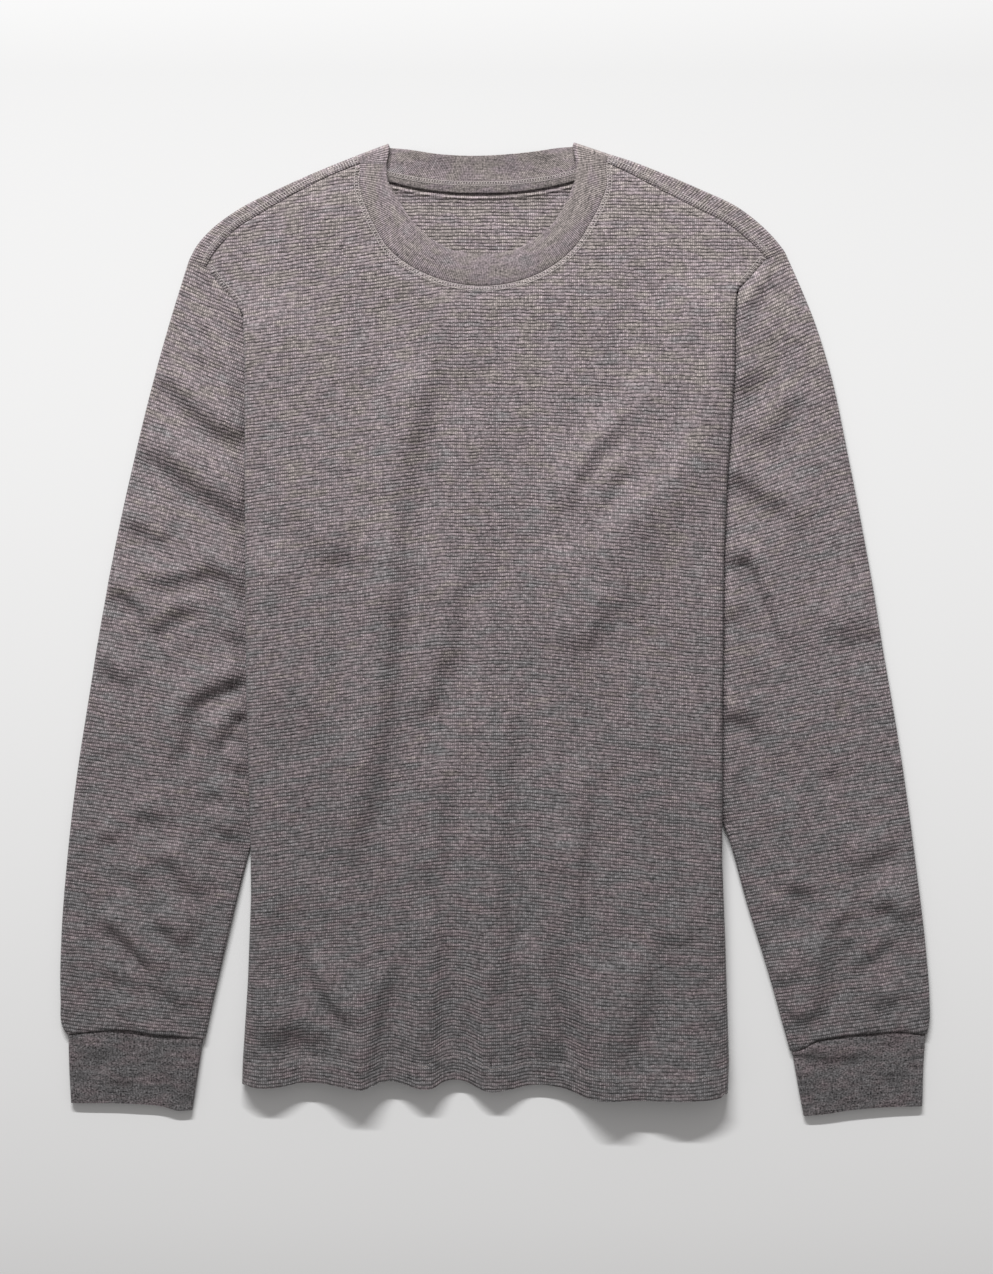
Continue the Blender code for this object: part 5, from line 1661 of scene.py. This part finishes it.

# %% [markdown]
# ## Waffle knit
# A waffle, or thermal, knit is a grid of small cells: raised ribs run along the cloth and across
# it, and the hollows between them hold warm air. Modelled stitch by stitch it would take
# millions of faces. A height in the shader gives the same play of light. The hollows are also
# painted darker, as painted shade for the shadow that the bump can't cast, and no row is quite
# straight or quite even.

# %% Waffle
ROW_PITCH = 0.0026
COLUMN_PITCH = 0.0015
GROOVE_SHARPNESS = 1.6  # the groove between two rows, and the gap between two columns
GAP_SHARPNESS = 2.0
GAP_DEPTH = 0.7
# painted shade: the colour is darkened in the grooves between rows and the gaps between columns,
# where the bump casts no shadow
GROOVE_PAINTED_SHADE = 0.54
GAP_PAINTED_SHADE = 0.42
WAFFLE_DEPTH = 0.0005
DRIFT, ROW_DRIFT, COLUMN_DRIFT = (0.03, 0.02), 0.0036, 0.001  # slow wandering of the rows
WOBBLE, ROW_WOBBLE, COLUMN_WOBBLE = (0.006, 0.005), 0.0009, 0.0005
JOG, ROW_JOG = (0.0026, 0.004), 0.0014
DASH, DASH_SHARE = (0.0060, 0.0017), 2.2  # grooves come and go along a row
FUZZ, FUZZ_SHARE = (0.0004, 0.0004), 0.35
SHADE_LEVEL = 1.21
CELL_SHARE = 0.6
CLOTH_ROUGHNESS = 0.8
ROUGHNESS_SHARE = 0.1


def waffle_finish():
    made, wire, shader = finish_tree("waffle")
    across, along = knit_places(wire)
    drift = cloth_noise(wire, across, along, DRIFT, shift=2.0) - 0.5
    wobble = cloth_noise(wire, across, along, WOBBLE, shift=6.0) - 0.5
    jog = cloth_noise(wire, across, along, JOG, shift=17.0) - 0.5
    row_place = along + drift * ROW_DRIFT + wobble * ROW_WOBBLE + jog * ROW_JOG
    column_place = across + drift * COLUMN_DRIFT + wobble * COLUMN_WOBBLE
    rows, columns = row_place * (1 / ROW_PITCH), column_place * (1 / COLUMN_PITCH)
    dash = cloth_noise(wire, across, along, DASH, detail=1.0, shift=20.0)
    groove = wave(wire, rows) ** GROOVE_SHARPNESS * (dash * DASH_SHARE + (1.0 - 0.5 * DASH_SHARE))
    gap = wave(wire, columns) ** GAP_SHARPNESS
    height = (1.0 - groove) * (1.0 - gap * GAP_DEPTH)
    tones, flicker = heather(wire, across, along)
    cell = wire.node(
        "ShaderNodeTexWhiteNoise",
        {"noise_dimensions": "2D"},
        {"Vector": wire.node(
            "ShaderNodeCombineXYZ",
            values={"X": wire.math("ROUND", columns), "Y": wire.math("ROUND", rows)},
        )},
    )
    # painted shade in the grooves and gaps, times the yarn's overall level
    shade = (1.0 - groove * GROOVE_PAINTED_SHADE) * (1.0 - gap * GAP_PAINTED_SHADE) * SHADE_LEVEL
    brightness = shade * flicker * (1.0 + (cell - 0.5) * CELL_SHARE)
    roughness = flicker * ROUGHNESS_SHARE + CLOTH_ROUGHNESS
    fuzz = cloth_noise(wire, across, along, FUZZ, shift=12.0)
    bump = wire.node(
        "ShaderNodeBump",
        values={"Strength": 1.0, "Distance": WAFFLE_DEPTH, "Height": height + fuzz * FUZZ_SHARE},
    )
    connect(shader, made, tinted(wire, tones, brightness), roughness, bump)
    return made


print("waffle cells:", round(COLUMN_PITCH * 1000, 1), "by", round(ROW_PITCH * 1000, 1), "mm")

# %% [markdown]
# ## Fine rib
# The cuffs and the neckband are a fine rib: narrow upright ribs that let them stretch. They are
# closer and flatter than the waffle, and a shade darker.

# %% Rib
RIB_PITCH = 0.0013
# painted shade: the colour is darkened in the valleys between ribs and between courses
RIB_SHARPNESS, RIB_PAINTED_SHADE = 1.4, 0.22
RIB_DRIFT, RIB_WANDER = (0.008, 0.02), 0.0008
COURSE_PITCH = 0.0009
COURSE_HEIGHT, COURSE_PAINTED_SHADE = 0.25, 0.10  # beside a rib's
RIB_DEPTH = 0.00035
RIB_FLICKER, RIB_COARSENESS = 1.15, 1.5
RIB_MOTTLE, RIB_MOTTLE_SHARE = (0.0045, 0.0032), 0.9


def rib_finish(name, level, contrast=1.0):
    """Fine rib at a level of brightness, with more or less contrast between its fibres."""
    made, wire, shader = finish_tree(name)
    across, along = knit_places(wire)
    wobble = cloth_noise(wire, across, along, RIB_DRIFT, shift=3.0) - 0.5
    valley = wave(wire, (across + wobble * RIB_WANDER) * (1 / RIB_PITCH)) ** RIB_SHARPNESS
    course = wave(wire, along * (1 / COURSE_PITCH))
    tones, flicker = heather(wire, across, along, RIB_FLICKER * contrast, RIB_COARSENESS)
    mottle = cloth_noise(wire, across, along, RIB_MOTTLE, detail=3.0, shift=15.0) - 0.5
    # painted shade in the valleys between ribs and between courses
    brightness = (1.0 - valley * RIB_PAINTED_SHADE) * (1.0 - course * COURSE_PAINTED_SHADE) * flicker * level
    brightness = brightness * (1.0 + mottle * (RIB_MOTTLE_SHARE * contrast))
    height = (1.0 - valley) + (1.0 - course) * COURSE_HEIGHT
    bump = wire.node(
        "ShaderNodeBump",
        values={"Strength": 1.0, "Distance": RIB_DEPTH, "Height": height},
    )
    roughness = flicker * ROUGHNESS_SHARE + CLOTH_ROUGHNESS
    connect(shader, made, tinted(wire, tones, brightness), roughness, bump)
    return made


print("ribs:", round(RIB_PITCH * 1000, 1), "mm apart")

# %% [markdown]
# ## Thread
# The seams are sewn in a thread that is paler and smoother than the cloth. A stitch is far
# too narrow to carry a knit's pattern, so it gets a plain colour with a fine grain.

# %% Thread
THREAD_COLOUR = (0.31, 0.28, 0.27, 1)
THREAD_GRAIN = 900.0  # to the metre
THREAD_FLICKER = (0.8, 0.6)
THREAD_BUMP = (0.5, 0.0002)
THREAD_ROUGHNESS = 0.6  # smoother than the knit


def thread_finish():
    made, wire, shader = finish_tree("thread")
    place = wire.node("ShaderNodeTexCoord", output="Object")
    values = {"Vector": place, "Scale": THREAD_GRAIN, "Detail": 1.0}
    noise = wire.node("ShaderNodeTexNoise", None, values)
    flicker = noise * THREAD_FLICKER[0] + THREAD_FLICKER[1]
    colour = wire.node("ShaderNodeCombineXYZ", values=dict(zip("XYZ", THREAD_COLOUR)))
    strength, depth = THREAD_BUMP
    bump = wire.node(
        "ShaderNodeBump", values={"Strength": strength, "Distance": depth, "Height": flicker}
    )
    roughness = flicker * ROUGHNESS_SHARE + THREAD_ROUGHNESS
    connect(shader, made, tinted(wire, colour, flicker), roughness, bump)
    return made


print("thread grain:", THREAD_GRAIN, "to the metre")

# %% [markdown]
# ## Making the cloth
# All the cloth is made before any stitch, because the stitches are laid on its upper face.
# Each piece rests at the height of what lies below it, so the order doesn't matter here.

# %% Make the pieces
BAND_LEVEL, CUFF_LEVEL, TAPE_LEVEL = 0.97, 0.80, 0.78
waffle = waffle_finish()
rib = rib_finish("rib", BAND_LEVEL)
cuff_rib = rib_finish("cuff rib", CUFF_LEVEL, contrast=1.6)
tape_finish = rib_finish("tape", TAPE_LEVEL, contrast=1.2)
thread = thread_finish()
pieces = {
    "front_panel": front_panel(waffle),
    "back_panel": back_panel(waffle),
    "neckband": neckband(rib),
    "neck_tape": neck_tape(tape_finish),
}
for side in FOLD:
    pieces[f"sleeve_{side}"] = sleeve(side, waffle)
    pieces[f"cuff_{side}"] = cuff(side, cuff_rib)

# %% [markdown]
# ## Stitches
# The seams of a thermal top are flattened by a cover stitch, which shows as a small ladder of
# thread beside the seam: two rails and the rungs between them. A texture could carry it, but it
# stands up from the cloth and catches the light, so each stitch is a short bar of thread, thicker
# in its middle. The stitches of a seam are one piece, and lie on the cloth that is already made.

# %% Bars of thread
BAR_STEPS = 4
BAR_SIDES = 5
BAR_ARCH = (1.1, -0.3)  # in radii: how high its middle stands, and how deep its ends sink
BAR_THICKNESS = (0.6, 0.4)  # of the radius: at its ends, and what its middle adds
FAR_ABOVE = 1000.0


def upper_face(piece, wall):
    """A function from plan points to points on a piece's upper face."""
    mesh = piece.data
    corners = [vertex.co.copy() for vertex in mesh.vertices]
    tree = BVHTree.FromPolygons(corners, [list(face.vertices) for face in mesh.polygons])

    def at(plan):
        found = []
        for x, y in plan:
            start = (Vector((x, y, FAR_ABOVE)) + Vector(TO_FRAME)) * MM
            hit = tree.ray_cast(start, Vector((0.0, 0.0, -1.0)))[0]
            if hit is None:
                hit = tree.find_nearest(start - Vector((0.0, 0.0, start.z)))[0]
            found.append((x, y, hit.z / MM + wall / 2))
        return np.array(found)

    return at


def ladder(run, lay, distances, rails):
    """The ends of the bars of one seam: its rungs, and the rails that are wanted."""
    near, far = (lay(offset_run(run, at)) for at in distances)
    pairs = [(near, far)]
    pairs += [(rail[:-1], rail[1:]) for rail, wanted in zip((near, far), rails) if wanted]
    return pairs


def stitches(name, pairs, radius, finish):
    """One piece of many bars: pairs holds the arrays of their starts and ends."""
    starts, ends = (np.concatenate(side) for side in zip(*pairs))
    t = np.linspace(0.0, 1.0, BAR_STEPS + 1)
    along = unit(ends - starts)
    aside = unit(np.cross(along, [0.0, 0.0, 1.0]))
    rise = np.cross(aside, along)
    middles = starts[:, None] + (ends - starts)[:, None] * t[None, :, None]
    middles[:, :, 2] += radius * (BAR_ARCH[0] * np.sin(math.pi * t) + BAR_ARCH[1])
    thickness = radius * (BAR_THICKNESS[0] + BAR_THICKNESS[1] * np.sin(math.pi * t))
    turns = 2 * math.pi * np.arange(BAR_SIDES) / BAR_SIDES
    round_bar = (
        aside[:, None, None] * np.cos(turns)[None, None, :, None]
        + rise[:, None, None] * np.sin(turns)[None, None, :, None]
    )
    points = middles[:, :, None] + thickness[None, :, None, None] * round_bar
    faces = []
    for bar in range(len(starts)):
        first = bar * (BAR_STEPS + 1) * BAR_SIDES
        for k in range(BAR_STEPS):
            for n in range(BAR_SIDES):
                a, b = first + k * BAR_SIDES + n, first + k * BAR_SIDES + (n + 1) % BAR_SIDES
                faces.append((a, b, b + BAR_SIDES, a + BAR_SIDES))
        last = first + BAR_STEPS * BAR_SIDES
        faces += [range(first, first + BAR_SIDES), range(last + BAR_SIDES - 1, last - 1, -1)]
    print(name, len(starts), "bars of thread")
    return made_piece(name, points.reshape(-1, 3), faces, finish)


print("a bar has", 2 + BAR_STEPS * BAR_SIDES, "faces")

# %% Stitch the seams
STITCH_PITCH = 2.0
NECK_LADDER = (0.8, 4.0)  # from the seam to the near rail and to the far one
SHOULDER_LADDER = (1.0, 4.6)
ARMHOLE_LADDER = (0.9, 4.6)
TAPE_LADDER = (0.6, 3.2)
NECK_THREAD, SEAM_THREAD, HEM_THREAD, TAPE_THREAD = 0.28, 0.27, 0.24, 0.24  # radii
HEM_STITCH = 2.0
HEM_STITCH_PITCH = 3.0
NECK_SPAN, TAPE_SPAN = (0.003, 0.997), (0.01, 0.99)  # the shares between which each is sewn
SHOULDER_SPAN, ARMHOLE_SPAN, HEM_SPAN = (0.03, 0.97), (0.05, 0.85), (0.02, 0.98)


def stitched(run, span, pitch=STITCH_PITCH):
    """Places for stitches along a run, between two shares of its length."""
    start, end = span
    curve = smooth_curve(run)
    return curve(np.linspace(start, end, int(curve.length * (end - start) / pitch)))


on_front = upper_face(pieces["front_panel"], WALL)
on_back = upper_face(pieces["back_panel"], WALL)
on_tape = upper_face(pieces["neck_tape"], TAPE_WALL)


def on_body(plan):
    """On the front, or on the back where that comes over the shoulder."""
    front, back = on_front(plan), on_back(plan)
    return np.column_stack([plan, np.maximum(front[:, 2], back[:, 2])])


neck_ends = [SHOULDER_EDGE[side][0] for side in FOLD]
neck_run = stitched([neck_ends[0], *NECK_FRONT_SEAM, neck_ends[1]], NECK_SPAN)
neck_pairs = ladder(neck_run, on_body, NECK_LADDER, (True, True))
shoulder_pairs, armhole_pairs = [], []
for side, sign in SIGN.items():
    run = stitched(SHOULDER_SEAM[side], SHOULDER_SPAN)
    distances = [sign * at for at in SHOULDER_LADDER]
    shoulder_pairs += ladder(run, on_back, distances, (False, True))
    run = stitched(ARMHOLE[side], ARMHOLE_SPAN)
    distances = [-sign * at for at in ARMHOLE_LADDER]
    armhole_pairs += ladder(run, on_front, distances, (False, True))
tape_pairs = ladder(stitched(TAPE_TOP, TAPE_SPAN), on_tape, TAPE_LADDER, (True, True))
run = offset_run(stitched(HEM, HEM_SPAN, HEM_STITCH_PITCH), -HEM_DEPTH)
step = unit(np.diff(run, axis=0)) * HEM_STITCH
hem_pairs = [(on_front(run[:-1]), on_front(run[:-1] + step))]
STITCHES = {
    "neck_stitches": (neck_pairs, NECK_THREAD, "front_panel"),
    "shoulder_stitches": (shoulder_pairs, SEAM_THREAD, "back_panel"),
    "armhole_stitches": (armhole_pairs, SEAM_THREAD, "front_panel"),
    "tape_stitches": (tape_pairs, TAPE_THREAD, "neck_tape"),
    "hem_stitches": (hem_pairs, HEM_THREAD, "front_panel"),
}
threads = {}
for name, (pairs, radius, host) in STITCHES.items():
    piece = stitches(name, pairs, radius, thread)
    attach(piece, "root")
    "tape" if host == "neck_tape" else "waffle"
    threads.setdefault(host, []).append(piece)

# %% [markdown]
# ## Riding and replacing
# Nothing on this garment moves on its own, so every piece rides on the one body and stands for
# the solid of its own name.

CUTS = {  # width, length and area of each cut, laid flat, in metres, and what it lies on
    "front_panel": (0.535, 0.725, 0.345, ["back_panel", "sleeve_left", "sleeve_right"]),
    "back_panel": (0.535, 0.735, 0.350, ["board"]),
    "sleeve_left": (0.36, 0.62, 0.160, ["board"]),
    "sleeve_right": (0.36, 0.62, 0.165, ["board"]),
    "cuff_left": (0.21, 0.055, 0.0112, ["board"]),
    "cuff_right": (0.21, 0.055, 0.0112, ["board"]),
    "neckband": (0.48, 0.025, 0.0118, ["board", "back_panel"]),
    "neck_tape": (0.156, 0.010, None, ["neckband"]),
}
for node, piece in pieces.items():
    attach(piece, "root")
    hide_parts(node)
for node, (width, length, area, supports) in CUTS.items():
    under = [pieces[name] if name in pieces else board for name in supports]
